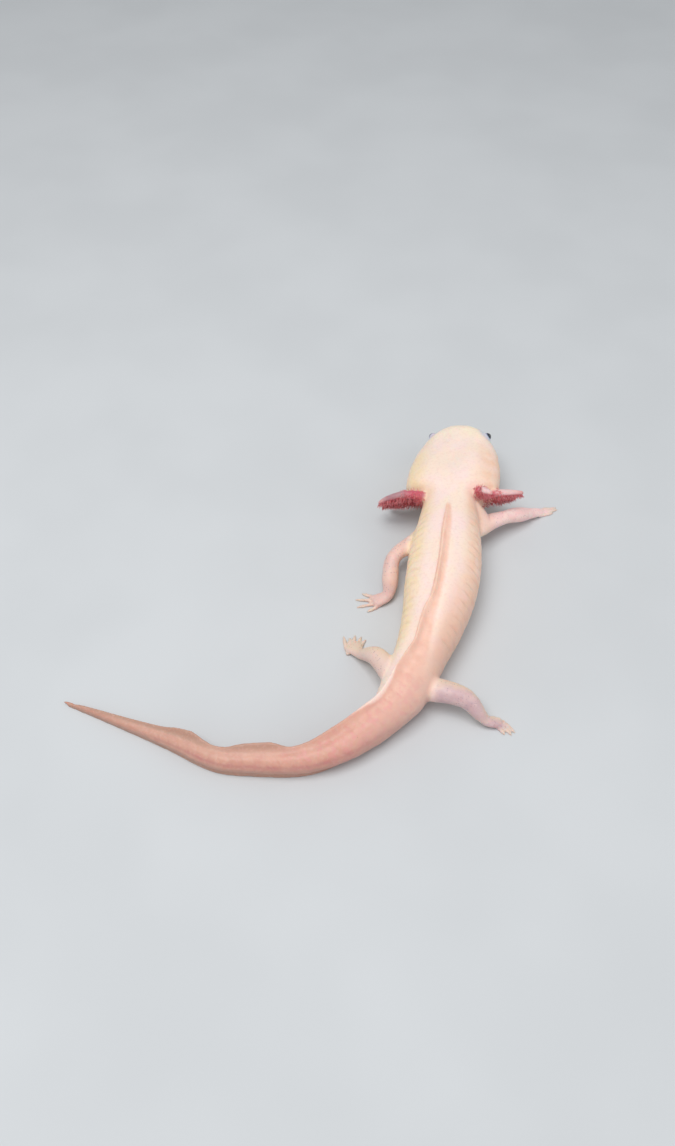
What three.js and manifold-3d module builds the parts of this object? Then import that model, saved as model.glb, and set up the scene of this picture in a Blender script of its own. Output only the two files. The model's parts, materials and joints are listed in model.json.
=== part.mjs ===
// A leucistic axolotl at life size, resting on belly, feet and tail, as a still model.
// Millimetres, +Z up. The head points towards -Y and the animal's left is +X.
// The origin is on the floor under the pelvis.
import * as THREE from 'three';
import { mergeVertices } from 'three/addons/utils/BufferGeometryUtils.js';
import Module from 'manifold-3d';

const wasm = await Module();
wasm.setup();

// ---- Driving dimensions -------------------------------------------------------------------
// Places along the body are distances from the snout, measured along the spine.
const LENGTH = 240; // from the snout to the tail tip
const HIP = 119; // the place over the origin
const HEAD_ROUND = 27; // the head widens over this length, as a quarter of an ellipse
const SNOUT_ROUND = 6; // the muzzle deepens over this length
const TIP_ROUND = 3; // the tail tip closes over this length
const LENGTHS = [
  { name: 'head', from: 0, to: 40.5, rings: 14, finish: 'cream' },
  { name: 'neck', from: 40.5, to: 46, rings: 2, finish: 'cream' },
  { name: 'trunk', from: 46, to: 99, rings: 10, finish: 'cream' },
  { name: 'pelvis', from: 99, to: 124, rings: 6, finish: 'cream' },
  { name: 'tail_base', from: 124, to: 158, rings: 7, finish: 'salmon' },
  { name: 'tail_middle', from: 158, to: 196, rings: 8, finish: 'salmon' },
  { name: 'tail_tip', from: 196, to: LENGTH, rings: 8, finish: 'salmon' },
];
const GAP = 0.3; // clearance between neighbouring pieces
const SIDES = 24; // faces round the body
const PRESS = 0.2; // depth to which toes and the lower tail fin are pressed flat on the floor

// Each station is [place along the spine, value there].
const HEADING = profile([
  [0, 14], [12, 13], [22, 10.6], [35, 8.6], [57, 8.6], [75, 11], [88, 17], [98, 21.5],
  [113, 24], [120, 35], [130, 47], [141, 56], [152, 69], [160, 85], [168, 92.5], [177, 93],
  [186, 110], [193, 118], [204, 113], [240, 113],
]); // degrees from +Y towards +X, looking from snout to tail
const WIDTH = profile([
  [0, 34], [31.5, 33.8], [34.5, 30.4], [37.2, 22.8], [40, 19.8], [48, 21.4], [57, 24],
  [67, 25.4], [75, 25], [83, 23.4], [91, 21], [99, 18.5], [107, 16.6], [119, 15.2],
  [126, 12.3], [134, 10.5], [145, 9.2], [155, 6.9], [164, 5.6], [181, 4.8], [193, 4.2],
  [204, 3.4], [219, 2.2], [232, 1.3], [240, 1],
]);
const LINE = profile([
  [0, 12], [50, 12], [66, 11.5], [82, 10.6], [97, 9.6], [119, 8.3], [135, 7], [145, 6.3],
  [155, 5.5], [164, 5], [181, 4.3], [193, 3.8], [204, 2.9], [219, 1.9], [232, 1.3], [240, 0.9],
]); // height of the widest point of each section
const RISE = profile([
  [0, 6.6], [9, 7], [20, 8], [32, 9.4], [41, 8.8], [60, 10.2], [75, 10.6], [95, 9.4],
  [113, 8.2], [125, 6.6], [135, 5.8], [145, 4.9], [155, 4.1], [164, 3.6], [181, 3.1],
  [193, 2.7], [204, 2.1], [219, 1.4], [232, 0.8], [240, 0.45],
]); // height of the back above that line
const DROP = profile([
  [0, 3.8], [9, 5.2], [20, 6.8], [32, 7.6], [41, 7.6], [60, 9.4], [75, 10.1], [95, 10],
  [119, 8.7], [132, 7.3], [145, 5], [155, 4], [164, 3.4], [181, 3], [193, 2.7],
  [204, 2.1], [219, 1.4], [232, 0.8], [240, 0.45],
]); // depth of the belly below that line
const SQUARENESS = profile([
  [0, 2.4], [34, 2.4], [50, 2.15], [100, 2.15], [130, 2], [240, 2],
]); // 2 is an ellipse, more is boxier
const ROLL = profile([
  [0, 13], [20, 12], [34, 7], [38, 6], [60, 3], [100, 3], [125, 8], [160, 22], [200, 27],
  [240, 22],
]); // degrees that the back leans to the animal's left

// The mouth line's height from the widest point of the head, then places along the head.
const MOUTH = { line: -1.7, corner: 15, cornerLift: 0.7, hinge: 21, hingeDrop: 2, throat: 29 };
const EYE = { place: 6.2, out: 10.3, up: 2.7, radius: 1.6, meridians: 12, parallels: 7 };

const FINS = [
  { name: 'dorsal_fin_trunk', upward: 1, from: 44, to: 99, rings: 12 },
  { name: 'dorsal_fin_pelvis', upward: 1, from: 99, to: 124, rings: 7 },
  { name: 'dorsal_fin_tail_base', upward: 1, from: 124, to: 158, rings: 8 },
  { name: 'dorsal_fin_tail_middle', upward: 1, from: 158, to: 196, rings: 11 },
  { name: 'dorsal_fin_tail_tip', upward: 1, from: 196, to: 237, rings: 7 },
  { name: 'ventral_fin_base', upward: -1, from: 131, to: 158, rings: 5 },
  { name: 'ventral_fin_middle', upward: -1, from: 158, to: 196, rings: 6 },
  { name: 'ventral_fin_tip', upward: -1, from: 196, to: 237, rings: 6 },
];
const FIN_ROOT = 1.9; // how far a fin starts inside the body, before it is trimmed to it
const FIN_LEVELS = [0, 0.55, 1]; // share of the fin's height at each row of corners
const FIN_THICKNESS = profile([[0, 2.6], [0.55, 1.3], [1, 0.6]]);
const FIN_EDGE = 0.6; // least thickness
const FIN_FULL_WIDTH = 5; // where the body is narrower than this, its fin is thinner too
const DORSAL_HEIGHT = profile([
  [43, 0.9], [50, 1.3], [62, 1.7], [86, 1.9], [93, 2.5], [98, 2.4], [104, 2.2], [110, 2.6],
  [116, 3.2], [122, 2.9], [128, 2.6], [135, 2.9], [145, 2.9],
  [155, 2.2], [161, 1.8], [168, 3.5], [176, 3], [182, 1.8], [186, 1.5], [190, 2.2], [195, 3.2],
  [199, 2.8], [205, 1.7], [219, 1], [237, 0.6],
]);
const DORSAL_LEAN = profile([
  [43, 10], [50, 18], [60, 26], [70, 22], [86, 22], [92, 35], [98, 33], [104, 25], [110, 37],
  [116, 49], [122, 42], [128, 36], [135, 39], [145, 33], [160, 25], [237, 10],
]); // degrees beyond the body's own roll

// A limb's joints are numbered 0 at the root, 1 at elbow or knee, 2 at wrist or ankle and
// 3 at the knuckles; its profiles run along those numbers.
const ARM = {
  parts: ['upper_arm', 'forearm', 'hand'],
  lengths: [15, 13, 5.5],
  wide: profile([[0, 9], [0.25, 8], [0.6, 5.8], [1, 5.2], [1.5, 5.8], [2, 4.2], [2.6, 5], [3, 5.2]]),
  tall: profile([[0, 6.6], [0.6, 5.3], [1, 5], [1.5, 5.3], [2, 3.5], [2.6, 2.4], [3, 1.9]]),
};
const LEG = {
  parts: ['thigh', 'shank', 'foot'],
  lengths: [13.6, 10.2, 5.2],
  wide: profile([[0, 8.4], [0.6, 7.4], [1, 6.6], [1.4, 5.4], [2, 3.6], [2.6, 5.6], [3, 6.2]]),
  tall: profile([[0, 8], [0.6, 7], [1, 6.4], [1.4, 5.1], [2, 3.1], [2.6, 2.5], [3, 1.9]]),
};
// A root is [place along the spine, distance to the left]. Bearings are those of upper limb,
// lower limb, paw and middle digit, in degrees from +Y towards +X, and heights are those of the
// joints. Digits are lengths, spread is the turn from one to the next, curl is how far each
// turns towards its tip, and breadth is how far apart they stand.
const STANCE = [
  {
    limb: ARM, side: 'left', root: [53.4, 7.5], bearings: [52, 11, 70, 86],
    heights: [9.5, 9.2, 2.6, 0.9], digits: [4.6, 6.8, 6.5, 4.5], spread: 17, curl: 0, breadth: 1,
  },
  {
    limb: ARM, side: 'right', root: [46.6, -8.9], bearings: [-119.5, -119.5, -116, -111],
    heights: [9.5, 7.4, 2.6, 0.9], digits: [4.5, 6.8, 6.8, 4.6], spread: 2, curl: 0, breadth: 0.62,
  },
  {
    limb: LEG, side: 'left', root: [117.7, 1], bearings: [148.5, 135, 153, 188],
    heights: [8.4, 9.1, 2.9, 0.9], digits: [7, 4.9, 5, 4.6, 3.2], spread: 10, curl: 4,
    breadth: 0.95,
  },
  {
    limb: LEG, side: 'right', root: [113.9, -4.6], bearings: [-72.5, -56.5, -94, -78],
    heights: [8.4, 8.6, 2.9, 0.9], digits: [4.2, 5.6, 6, 5.6, 3.6], spread: 6, curl: 42,
    breadth: 0.5,
  },
];
const LIMB_SIDES = 10; // faces round a limb
const LIMB_RINGS = 4; // stretches along each part of a limb
// Digits stand a pitch apart; each starts inside the paw, the outer ones a setback behind.
const DIGIT = { wide: [1.5, 1.35, 0.8], sides: 5, pitch: 1.45, inside: 1.6, setback: 0.5 };

// Gill stalks stand behind the cheeks, numbered from the lowest, foremost one. Tip offsets
// from the root are [back, out, up], and bow bends the stalk's middle upwards and back.
const GILLS = [
  { side: 'left', sign: 1, number: 1, root: [35.2, 9.6, -2], tip: [-0.5, 14, -3.2], bow: 1 },
  { side: 'left', sign: 1, number: 2, root: [37, 9.2, 0.8], tip: [2, 16, -2.4], bow: 3 },
  { side: 'left', sign: 1, number: 3, root: [38.8, 8.6, 3.2], tip: [3.4, 17.3, -0.6], bow: 6 },
  { side: 'right', sign: -1, number: 1, root: [35.2, 9.6, -1.4], tip: [-5.5, 13, -2.6], bow: 1 },
  { side: 'right', sign: -1, number: 2, root: [36.2, 9.2, 2], tip: [-3.8, 16.4, -1.4], bow: 2 },
  { side: 'right', sign: -1, number: 3, root: [37, 8.7, 5], tip: [2.5, 6, 2], bow: 2.6 },
];
const STALK = { radius: profile([[0, 1.9], [0.5, 1.4], [1, 0.7]]), rings: 7, sides: 8 };
const FRINGE = {
  hang: new THREE.Vector3(0, 0.75, -0.66), rings: 9, from: 0.3, to: 0.98, depth: 2.2,
  notch: 0.8, taper: 0.45, thickness: 1.1, edge: 0.55,
};

const FINISHES = {
  cream: { color: 0xf5e3d3, roughness: 0.45, metalness: 0 },
  salmon: { color: 0xe4b09c, roughness: 0.45, metalness: 0 },
  lilac: { color: 0xe3bfbf, roughness: 0.45, metalness: 0 },
  stalk: { color: 0xc48f95, roughness: 0.4, metalness: 0 },
  crimson: { color: 0xb32a3f, roughness: 0.4, metalness: 0 },
  eye: { color: 0x151724, roughness: 0.1, metalness: 0 },
};

// ---- Curves ------------------------------------------------------------------------------
// A smooth curve through [place, value] stations that never swings past them: each slope is
// the harmonic mean of its neighbours, or level where they differ in sign.
function profile(stations) {
  const rate = stations.slice(1).map(([s, v], i) => (v - stations[i][1]) / (s - stations[i][0]));
  const slopes = stations.map((_, i) => {
    const before = rate[Math.max(i - 1, 0)];
    const after = rate[Math.min(i, rate.length - 1)];
    return before * after > 0 ? (2 * before * after) / (before + after) : 0;
  });
  return (place) => {
    const last = stations.length - 2;
    const found = stations.findIndex(([s]) => s > place) - 1;
    const i = found < 0 ? (place < stations[0][0] ? 0 : last) : found;
    const span = stations[i + 1][0] - stations[i][0];
    const t = THREE.MathUtils.clamp((place - stations[i][0]) / span, 0, 1);
    const start = (1 + 2 * t) * (1 - t) ** 2 * stations[i][1] + t * (1 - t) ** 2 * span * slopes[i];
    const end = t * t * (3 - 2 * t) * stations[i + 1][1] + t * t * (t - 1) * span * slopes[i + 1];
    return start + end;
  };
}

// Quarter-ellipse rounding, from 0 at the end of a form to 1 at the given reach.
function rounding(distance, reach) {
  return Math.sqrt(1 - Math.max(0, 1 - distance / reach) ** 2);
}

// Plan position of the spine, from its heading summed in short steps away from the hip.
function spineAt(place) {
  const steps = Math.max(1, Math.ceil(Math.abs(place - HIP)));
  const step = (place - HIP) / steps;
  const point = new THREE.Vector3();
  for (let i = 0; i < steps; i += 1) {
    point.addScaledVector(bearingVector(HEADING(HIP + (i + 0.5) * step)), step);
  }
  return point;
}

function bearingVector(degrees) {
  const angle = THREE.MathUtils.degToRad(degrees);
  return new THREE.Vector3(Math.sin(angle), Math.cos(angle), 0);
}

// The frame of a section: x to the animal's left, y up the back, z towards the snout, rolled.
function sectionFrame(place) {
  const ahead = bearingVector(HEADING(place)).negate();
  const up = new THREE.Vector3(0, 0, 1).applyAxisAngle(ahead, -THREE.MathUtils.degToRad(ROLL(place)));
  const left = new THREE.Vector3().crossVectors(up, ahead);
  const frame = new THREE.Matrix4().makeBasis(left, up, ahead);
  return frame.setPosition(spineAt(place).setZ(LINE(place)));
}

function onFloor(point) {
  return point.setZ(Math.max(0, point.z));
}

// ---- Solids ------------------------------------------------------------------------------
// A closed skin over rings of points, with a flat fan over the first and the last ring.
function loft(rings) {
  const count = rings[0].length;
  const ends = [rings[0], rings[rings.length - 1]].map((ring) => centreOf(ring));
  const points = [...rings.flat(), ...ends];
  const faces = [];
  for (let k = 0; k < count; k += 1) {
    const next = (k + 1) % count;
    faces.push([points.length - 2, next, k]);
    faces.push([points.length - 1, points.length - 2 - count + k, points.length - 2 - count + next]);
    for (let r = 0; r < rings.length - 1; r += 1) {
      const low = r * count;
      const high = low + count;
      faces.push([low + k, low + next, high + k], [low + next, high + next, high + k]);
    }
  }
  const geometry = new THREE.BufferGeometry().setFromPoints(points);
  geometry.setIndex((volumeOf(points, faces) < 0 ? faces.map(([a, b, c]) => [a, c, b]) : faces).flat());
  return geometry;
}

function centreOf(ring) {
  const sum = ring.reduce((total, point) => total.add(point), new THREE.Vector3());
  return sum.divideScalar(ring.length);
}

function volumeOf(points, faces) {
  const cross = new THREE.Vector3();
  return faces.reduce((sum, [a, b, c]) => (
    sum + points[a].dot(cross.crossVectors(points[b], points[c])) / 6
  ), 0);
}

function toManifold(geometry) {
  const bare = geometry.clone();
  bare.deleteAttribute('normal');
  bare.deleteAttribute('uv');
  const merged = mergeVertices(bare);
  return new wasm.Manifold(new wasm.Mesh({
    numProp: 3,
    vertProperties: Float32Array.from(merged.attributes.position.array),
    triVerts: Uint32Array.from(merged.index.array),
  }));
}

function toGeometry(manifold) {
  const mesh = manifold.getMesh();
  const geometry = new THREE.BufferGeometry();
  geometry.setAttribute('position', new THREE.BufferAttribute(mesh.vertProperties, 3));
  geometry.setIndex(new THREE.BufferAttribute(mesh.triVerts, 1));
  return geometry;
}

// ---- Body --------------------------------------------------------------------------------
// One cross-section: a boxy ellipse with a higher back than belly, or the other way round.
function bodyRing(place, grow = 0) {
  const frame = sectionFrame(place);
  const power = 2 / SQUARENESS(place);
  const tip = rounding(LENGTH - place, TIP_ROUND);
  const muzzle = rounding(place, SNOUT_ROUND);
  const halfWidth = (WIDTH(place) / 2) * rounding(place, HEAD_ROUND) * tip + grow;
  return Array.from({ length: SIDES }, (_, k) => {
    const turn = (2 * Math.PI * (k + 0.5)) / SIDES;
    const across = Math.sign(Math.cos(turn)) * Math.abs(Math.cos(turn)) ** power;
    const upward = Math.sign(Math.sin(turn)) * Math.abs(Math.sin(turn)) ** power;
    const height = (upward > 0 ? RISE(place) : DROP(place)) * muzzle * tip + grow;
    return new THREE.Vector3(across * halfWidth, upward * height, 0).applyMatrix4(frame);
  });
}

// Places of a length's sections; the head's crowd towards the snout, where it rounds off.
function sectionPlaces({ name, from, to, rings }) {
  return Array.from({ length: rings + 1 }, (_, i) => {
    const share = i / rings;
    const eased = name === 'head' ? 1 - Math.cos((Math.PI / 2) * share) : share;
    return from + (to - from) * eased;
  });
}

function bodyLength(length) {
  const nearest = length.from + (length.from > 0 ? GAP / 2 : GAP / 4);
  const places = sectionPlaces(length).map((place) => (
    THREE.MathUtils.clamp(place, nearest, length.to - GAP / 2)
  ));
  return loft(places.map((place) => bodyRing(place).map(onFloor)));
}

// The whole body swollen by the clearance, which trims whatever grows from it.
function swollenBody() {
  const places = [...new Set(LENGTHS.flatMap(sectionPlaces))];
  places[0] = GAP / 4;
  places[places.length - 1] -= GAP / 4;
  return toManifold(loft(places.map((place) => bodyRing(place, GAP))));
}

// The prism below the mouth line and in front of the jaw's hinge, in the head's own frame.
function jawPrism(clearance) {
  const { line, corner, cornerLift, hinge, hingeDrop, throat } = MOUTH;
  const beyond = WIDTH(throat);
  const outline = new THREE.Shape([
    new THREE.Vector2(-beyond, line + clearance),
    new THREE.Vector2(corner / 2, line + clearance),
    new THREE.Vector2(corner + clearance, line + cornerLift + clearance),
    new THREE.Vector2(hinge + clearance, line - hingeDrop),
    new THREE.Vector2(throat + clearance, -beyond),
    new THREE.Vector2(-beyond, -beyond),
  ]);
  const prism = new THREE.ExtrudeGeometry(outline, { depth: 2 * beyond, bevelEnabled: false });
  prism.translate(0, 0, -beyond);
  prism.rotateY(Math.PI / 2);
  return toManifold(prism.translate(0, 0, MOUTH.corner).applyMatrix4(sectionFrame(MOUTH.corner)));
}

function eyeball(sign, swell = 0) {
  const ball = new THREE.SphereGeometry(EYE.radius + swell, EYE.meridians, EYE.parallels);
  ball.translate(sign * EYE.out, EYE.up, 0);
  return ball.applyMatrix4(sectionFrame(EYE.place));
}

// ---- Fins --------------------------------------------------------------------------------
// Distance from the body's line down its rolled section to the floor, and a little beyond.
function toFloor(place) {
  return LINE(place) / Math.cos(THREE.MathUtils.degToRad(ROLL(place))) + PRESS;
}

// A fin's section is a blade: full at its root, thin at its edge, leaning from the body's axis.
function finRing({ upward }, place) {
  const frame = sectionFrame(place);
  const root = Math.max(0, (upward > 0 ? RISE(place) : DROP(place)) - FIN_ROOT);
  const height = (upward > 0 ? RISE(place) + DORSAL_HEIGHT(place) : toFloor(place)) - root;
  const lean = THREE.MathUtils.degToRad(upward > 0 ? DORSAL_LEAN(place) : 0);
  const thinning = Math.min(1, WIDTH(place) / FIN_FULL_WIDTH);
  const corner = (level, face) => {
    const half = (face * Math.max(FIN_EDGE, FIN_THICKNESS(level) * thinning)) / 2;
    const across = Math.sin(lean) * level * height + Math.cos(lean) * half;
    const rise = root + Math.cos(lean) * level * height - Math.sin(lean) * half;
    return onFloor(new THREE.Vector3(across, upward * rise, 0).applyMatrix4(frame));
  };
  return [
    ...FIN_LEVELS.map((level) => corner(level, 1)),
    ...FIN_LEVELS.toReversed().map((level) => corner(level, -1)),
  ];
}

function fin(spec) {
  const start = spec.from + GAP / 2;
  const step = (spec.to - GAP - spec.from) / spec.rings;
  const places = Array.from({ length: spec.rings + 1 }, (_, i) => start + i * step);
  return loft(places.map((place) => finRing(spec, place)));
}

// ---- Limbs -------------------------------------------------------------------------------
function limbJoints({ limb, root, bearings, heights }) {
  const out = new THREE.Vector3(root[1], 0, 0);
  const joints = [out.applyMatrix4(sectionFrame(root[0])).setZ(heights[0])];
  limb.lengths.forEach((length, i) => {
    const run = Math.sqrt(length ** 2 - (heights[i] - heights[i + 1]) ** 2);
    const next = joints[i].clone().addScaledVector(bearingVector(bearings[i]), run);
    joints.push(next.setZ(heights[i + 1]));
  });
  return joints;
}

// An oval section across a path at the given point, with one of its flat sides downwards.
function ovalRing(centre, direction, wide, tall, sides) {
  const across = new THREE.Vector3(0, 0, 1).cross(direction).normalize();
  const over = new THREE.Vector3().crossVectors(direction, across).normalize();
  return Array.from({ length: sides }, (_, k) => {
    const turn = (2 * Math.PI * (k + 0.5)) / sides - Math.PI / 2;
    const point = centre.clone().addScaledVector(across, (Math.cos(turn) * wide) / 2);
    return onFloor(point.addScaledVector(over, (Math.sin(turn) * tall) / 2));
  });
}

// The stretch of a limb between joint i and joint i + 1, short of both by half the clearance.
function limbStretch({ limb, breadth }, path, i) {
  const inset = GAP / 2 / limb.lengths[i];
  return loft(Array.from({ length: LIMB_RINGS + 1 }, (_, r) => {
    const along = i + THREE.MathUtils.lerp(inset, 1 - inset, r / LIMB_RINGS);
    const wide = limb.wide(along) * THREE.MathUtils.lerp(1, breadth, Math.max(0, along - 2));
    const [centre, direction] = [path.getPoint(along / 3), path.getTangent(along / 3)];
    return ovalRing(centre, direction, wide, limb.tall(along), LIMB_SIDES);
  }));
}

// A finger or toe lies on the floor and turns by its curl on the way to its tip.
function digit(knuckle, bearing, curl, length) {
  const [first, last] = [bearing, bearing + curl].map(bearingVector);
  const start = knuckle.clone().addScaledVector(first, -DIGIT.inside);
  const reach = length + DIGIT.inside;
  return loft(DIGIT.wide.map((wide, i) => {
    const share = i / (DIGIT.wide.length - 1);
    const turned = share ** 2 / 2;
    const centre = start.clone().addScaledVector(first, reach * (share - turned));
    centre.addScaledVector(last, reach * turned);
    centre.setZ((wide / 2) * Math.cos(Math.PI / DIGIT.sides) - PRESS);
    return ovalRing(centre, first.clone().lerp(last, share), wide, wide, DIGIT.sides);
  }));
}

function paw(stance, joints, path) {
  const { bearings, digits, spread, curl, breadth } = stance;
  const ahead = bearingVector(bearings[2]);
  const across = bearingVector(bearings[2] + 90);
  const whole = digits.map((length, k) => {
    const offset = k - (digits.length - 1) / 2;
    const knuckle = joints[3].clone().addScaledVector(across, offset * breadth * DIGIT.pitch);
    knuckle.addScaledVector(ahead, -Math.abs(offset) * DIGIT.setback);
    return toManifold(digit(knuckle, bearings[3] + offset * spread, curl, length));
  });
  return whole.reduce((sum, one) => sum.add(one), toManifold(limbStretch(stance, path, 2)));
}

// ---- Gills -------------------------------------------------------------------------------
function gillPath({ sign, root, tip, bow }) {
  const [place, out, up] = root;
  const head = sectionFrame(place);
  const point = (back, outward, rise) => (
    new THREE.Vector3(sign * (out + outward), up + rise, -back).applyMatrix4(head)
  );
  return new THREE.QuadraticBezierCurve3(
    point(0, 0, 0),
    point((tip[0] + bow) / 2, tip[1] / 2, tip[2] / 2 + bow * 1.5),
    point(...tip),
  );
}

function gillStalk(path) {
  return loft(Array.from({ length: STALK.rings + 1 }, (_, i) => {
    const u = i / STALK.rings;
    const size = 2 * STALK.radius(u);
    return ovalRing(path.getPoint(u), path.getTangent(u), size, size, STALK.sides);
  }));
}

// The fringe hangs behind and below its stalk as a toothed leaf.
function gillFringe(path) {
  const { hang, rings, from, to, depth, notch, taper, thickness, edge } = FRINGE;
  return loft(Array.from({ length: rings + 1 }, (_, i) => {
    const share = i / rings;
    const u = THREE.MathUtils.lerp(from, to, share);
    const tangent = path.getTangent(u);
    const down = hang.clone().addScaledVector(tangent, -hang.dot(tangent)).normalize();
    const face = new THREE.Vector3().crossVectors(tangent, down);
    const near = STALK.radius(u) + GAP;
    const far = near + (depth - (i % 2 === 0 ? notch : 0)) * (1 - taper * share);
    const corner = (reach, side) => path.getPoint(u)
      .addScaledVector(down, reach)
      .addScaledVector(face, (side * thickness) / 2);
    return [corner(near, 1), corner(far, edge), corner(far, -edge), corner(near, -1)];
  }));
}

// ---- Assembly ----------------------------------------------------------------------------
const axolotl = new THREE.Group();

function place(name, geometry, finish) {
  const mesh = new THREE.Mesh(geometry, new THREE.MeshStandardMaterial(FINISHES[finish]));
  mesh.name = name;
  axolotl.add(mesh);
}

const swollen = swollenBody();

for (const length of LENGTHS.slice(1)) {
  place(length.name, bodyLength(length), length.finish);
}

const wholeHead = toManifold(bodyLength(LENGTHS[0]));
const socketed = [1, -1].reduce((head, sign) => (
  head.subtract(toManifold(eyeball(sign, GAP)))
), wholeHead);
place('head', toGeometry(socketed.subtract(jawPrism(GAP))), 'cream');
place('lower_jaw', toGeometry(socketed.intersect(jawPrism(0))), 'cream');
place('eye_left', eyeball(1), 'eye');
place('eye_right', eyeball(-1), 'eye');

for (const spec of FINS) {
  place(spec.name, toGeometry(toManifold(fin(spec)).subtract(swollen)), 'salmon');
}

for (const stance of STANCE) {
  const joints = limbJoints(stance);
  const path = new THREE.CatmullRomCurve3(joints);
  const [upper, lower, end] = stance.limb.parts.map((part) => `${part}_${stance.side}`);
  const root = toManifold(limbStretch(stance, path, 0)).subtract(swollen);
  place(upper, toGeometry(root), 'lilac');
  place(lower, limbStretch(stance, path, 1), 'lilac');
  place(end, toGeometry(paw(stance, joints, path)), 'lilac');
}

for (const gill of GILLS) {
  const path = gillPath(gill);
  const tag = `${gill.side}_${gill.number}`;
  place(`gill_stalk_${tag}`, toGeometry(toManifold(gillStalk(path)).subtract(swollen)), 'stalk');
  place(`gill_fringe_${tag}`, toGeometry(toManifold(gillFringe(path)).subtract(swollen)), 'crimson');
}

export default axolotl;
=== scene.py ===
# %% [markdown]
# # A still axolotl at life size
# The animal is a leucistic axolotl: a pale salamander that keeps its larval gills and tail fin
# all its life. It lies on its belly with its legs splayed and its tail curving to its left.
# The solids around which this scene is built give the size and the pose. Here they get one
# continuous skin, wet eyes and feathery gills. The first cell loads the solids.

import json
import math

import bpy
import numpy as np
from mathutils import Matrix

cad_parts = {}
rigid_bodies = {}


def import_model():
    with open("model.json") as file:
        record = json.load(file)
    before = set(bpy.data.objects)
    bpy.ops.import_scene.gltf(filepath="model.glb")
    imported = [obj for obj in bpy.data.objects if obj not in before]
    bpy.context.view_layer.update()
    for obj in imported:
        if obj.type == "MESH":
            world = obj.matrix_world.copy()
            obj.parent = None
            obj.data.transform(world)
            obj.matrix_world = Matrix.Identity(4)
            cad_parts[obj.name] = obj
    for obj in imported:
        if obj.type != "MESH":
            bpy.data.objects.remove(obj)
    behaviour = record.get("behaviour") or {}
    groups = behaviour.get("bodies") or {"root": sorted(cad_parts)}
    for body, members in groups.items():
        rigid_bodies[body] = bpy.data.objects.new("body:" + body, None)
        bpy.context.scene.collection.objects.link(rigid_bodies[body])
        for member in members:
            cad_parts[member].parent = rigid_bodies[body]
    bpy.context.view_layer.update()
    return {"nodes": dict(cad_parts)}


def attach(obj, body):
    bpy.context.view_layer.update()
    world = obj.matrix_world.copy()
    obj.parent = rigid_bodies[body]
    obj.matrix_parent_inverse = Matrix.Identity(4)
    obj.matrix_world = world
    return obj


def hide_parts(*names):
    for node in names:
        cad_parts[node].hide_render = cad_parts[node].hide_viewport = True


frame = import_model()

# %% [markdown]
# ## Measures
# All measures are millimetres until a mesh is made. A place is a distance from the snout,
# measured along the spine. Each measure of the body is a smooth curve through a few stations,
# so that a bump or a waist is one pair of numbers. The curve is a cubic whose slope at each
# station is the harmonic mean of the slopes beside it, which never swings past a station.

# %% Curves through stations
MM = 0.001


def profile(stations):
    """A curve through (place, value) stations, held level beyond both ends.

    Between two stations it is the Hermite cubic with their values and slopes.
    """
    places, values = np.array(stations, float).T
    rate = np.diff(values) / np.diff(places)
    before = np.concatenate([rate[:1], rate])
    after = np.concatenate([rate, rate[-1:]])
    same = before * after > 0
    slope = np.where(same, 2 * before * after / np.where(same, before + after, 1), 0)

    def curve(place):
        place = np.asarray(place, float)
        i = np.clip(np.searchsorted(places, place, side="right") - 1, 0, len(rate) - 1)
        span = places[i + 1] - places[i]
        t = np.clip((place - places[i]) / span, 0, 1)
        start = (1 + 2 * t) * (1 - t) ** 2 * values[i] + t * (1 - t) ** 2 * span * slope[i]
        end = t * t * (3 - 2 * t) * values[i + 1] + t * t * (t - 1) * span * slope[i + 1]
        return start + end

    return curve


def rounding(distance, reach):
    """A quarter of an ellipse: 0 at an end, 1 from the given reach on."""
    return np.sqrt(np.clip(1 - np.clip(1 - distance / reach, 0, 1) ** 2, 0, 1))


def step(value, low, high):
    """0 below low, 1 above high, and an S-shaped rise t*t*(3 - 2t) between them."""
    t = np.clip((value - low) / (high - low), 0, 1)
    return t * t * (3 - 2 * t)


def bell(value, width):
    """A bell curve, exp(-(value / width)^2)."""
    return np.exp(-((value / width) ** 2))


print("half way from 0 to 2:", float(profile([(0, 0), (1, 2)])(0.5)), float(2 * step(0.5, 0, 1)))

# %% Stations of the body
LENGTH, HIP = 240, 119
HEADING = profile([
    (0, 14), (12, 13), (22, 10.6), (35, 8.6), (57, 8.6), (75, 11), (88, 17), (98, 21.5),
    (113, 24), (120, 35), (130, 47), (141, 56), (152, 69), (160, 85), (168, 92.5), (177, 93),
    (186, 110), (193, 118), (204, 113), (240, 113)])
WIDTH = profile([
    (0, 34), (31.5, 33.8), (34.5, 30.4), (37.2, 22.8), (40, 19.8), (48, 21.4), (57, 24),
    (67, 25.4), (75, 25), (83, 23.4), (91, 21), (99, 18.5), (107, 16.6), (119, 15.2),
    (126, 12.3), (134, 10.5), (145, 9.2), (155, 6.9), (164, 5.6), (181, 4.8), (193, 4.2),
    (204, 3.4), (219, 2.2), (232, 1.3), (240, 1)])
LINE = profile([
    (0, 12), (50, 12), (66, 11.5), (82, 10.6), (97, 9.6), (119, 8.3), (135, 7), (145, 6.3),
    (155, 5.5), (164, 5), (181, 4.3), (193, 3.8), (204, 2.9), (219, 1.9), (232, 1.3), (240, 0.9)])
RISE = profile([
    (0, 6.6), (9, 7), (20, 8), (32, 9.4), (41, 8.8), (60, 10.2), (75, 10.6), (95, 9.4),
    (113, 8.2), (125, 6.6), (135, 5.8), (145, 4.9), (155, 4.1), (164, 3.6), (181, 3.1),
    (193, 2.7), (204, 2.1), (219, 1.4), (232, 0.8), (240, 0.45)])
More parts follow.
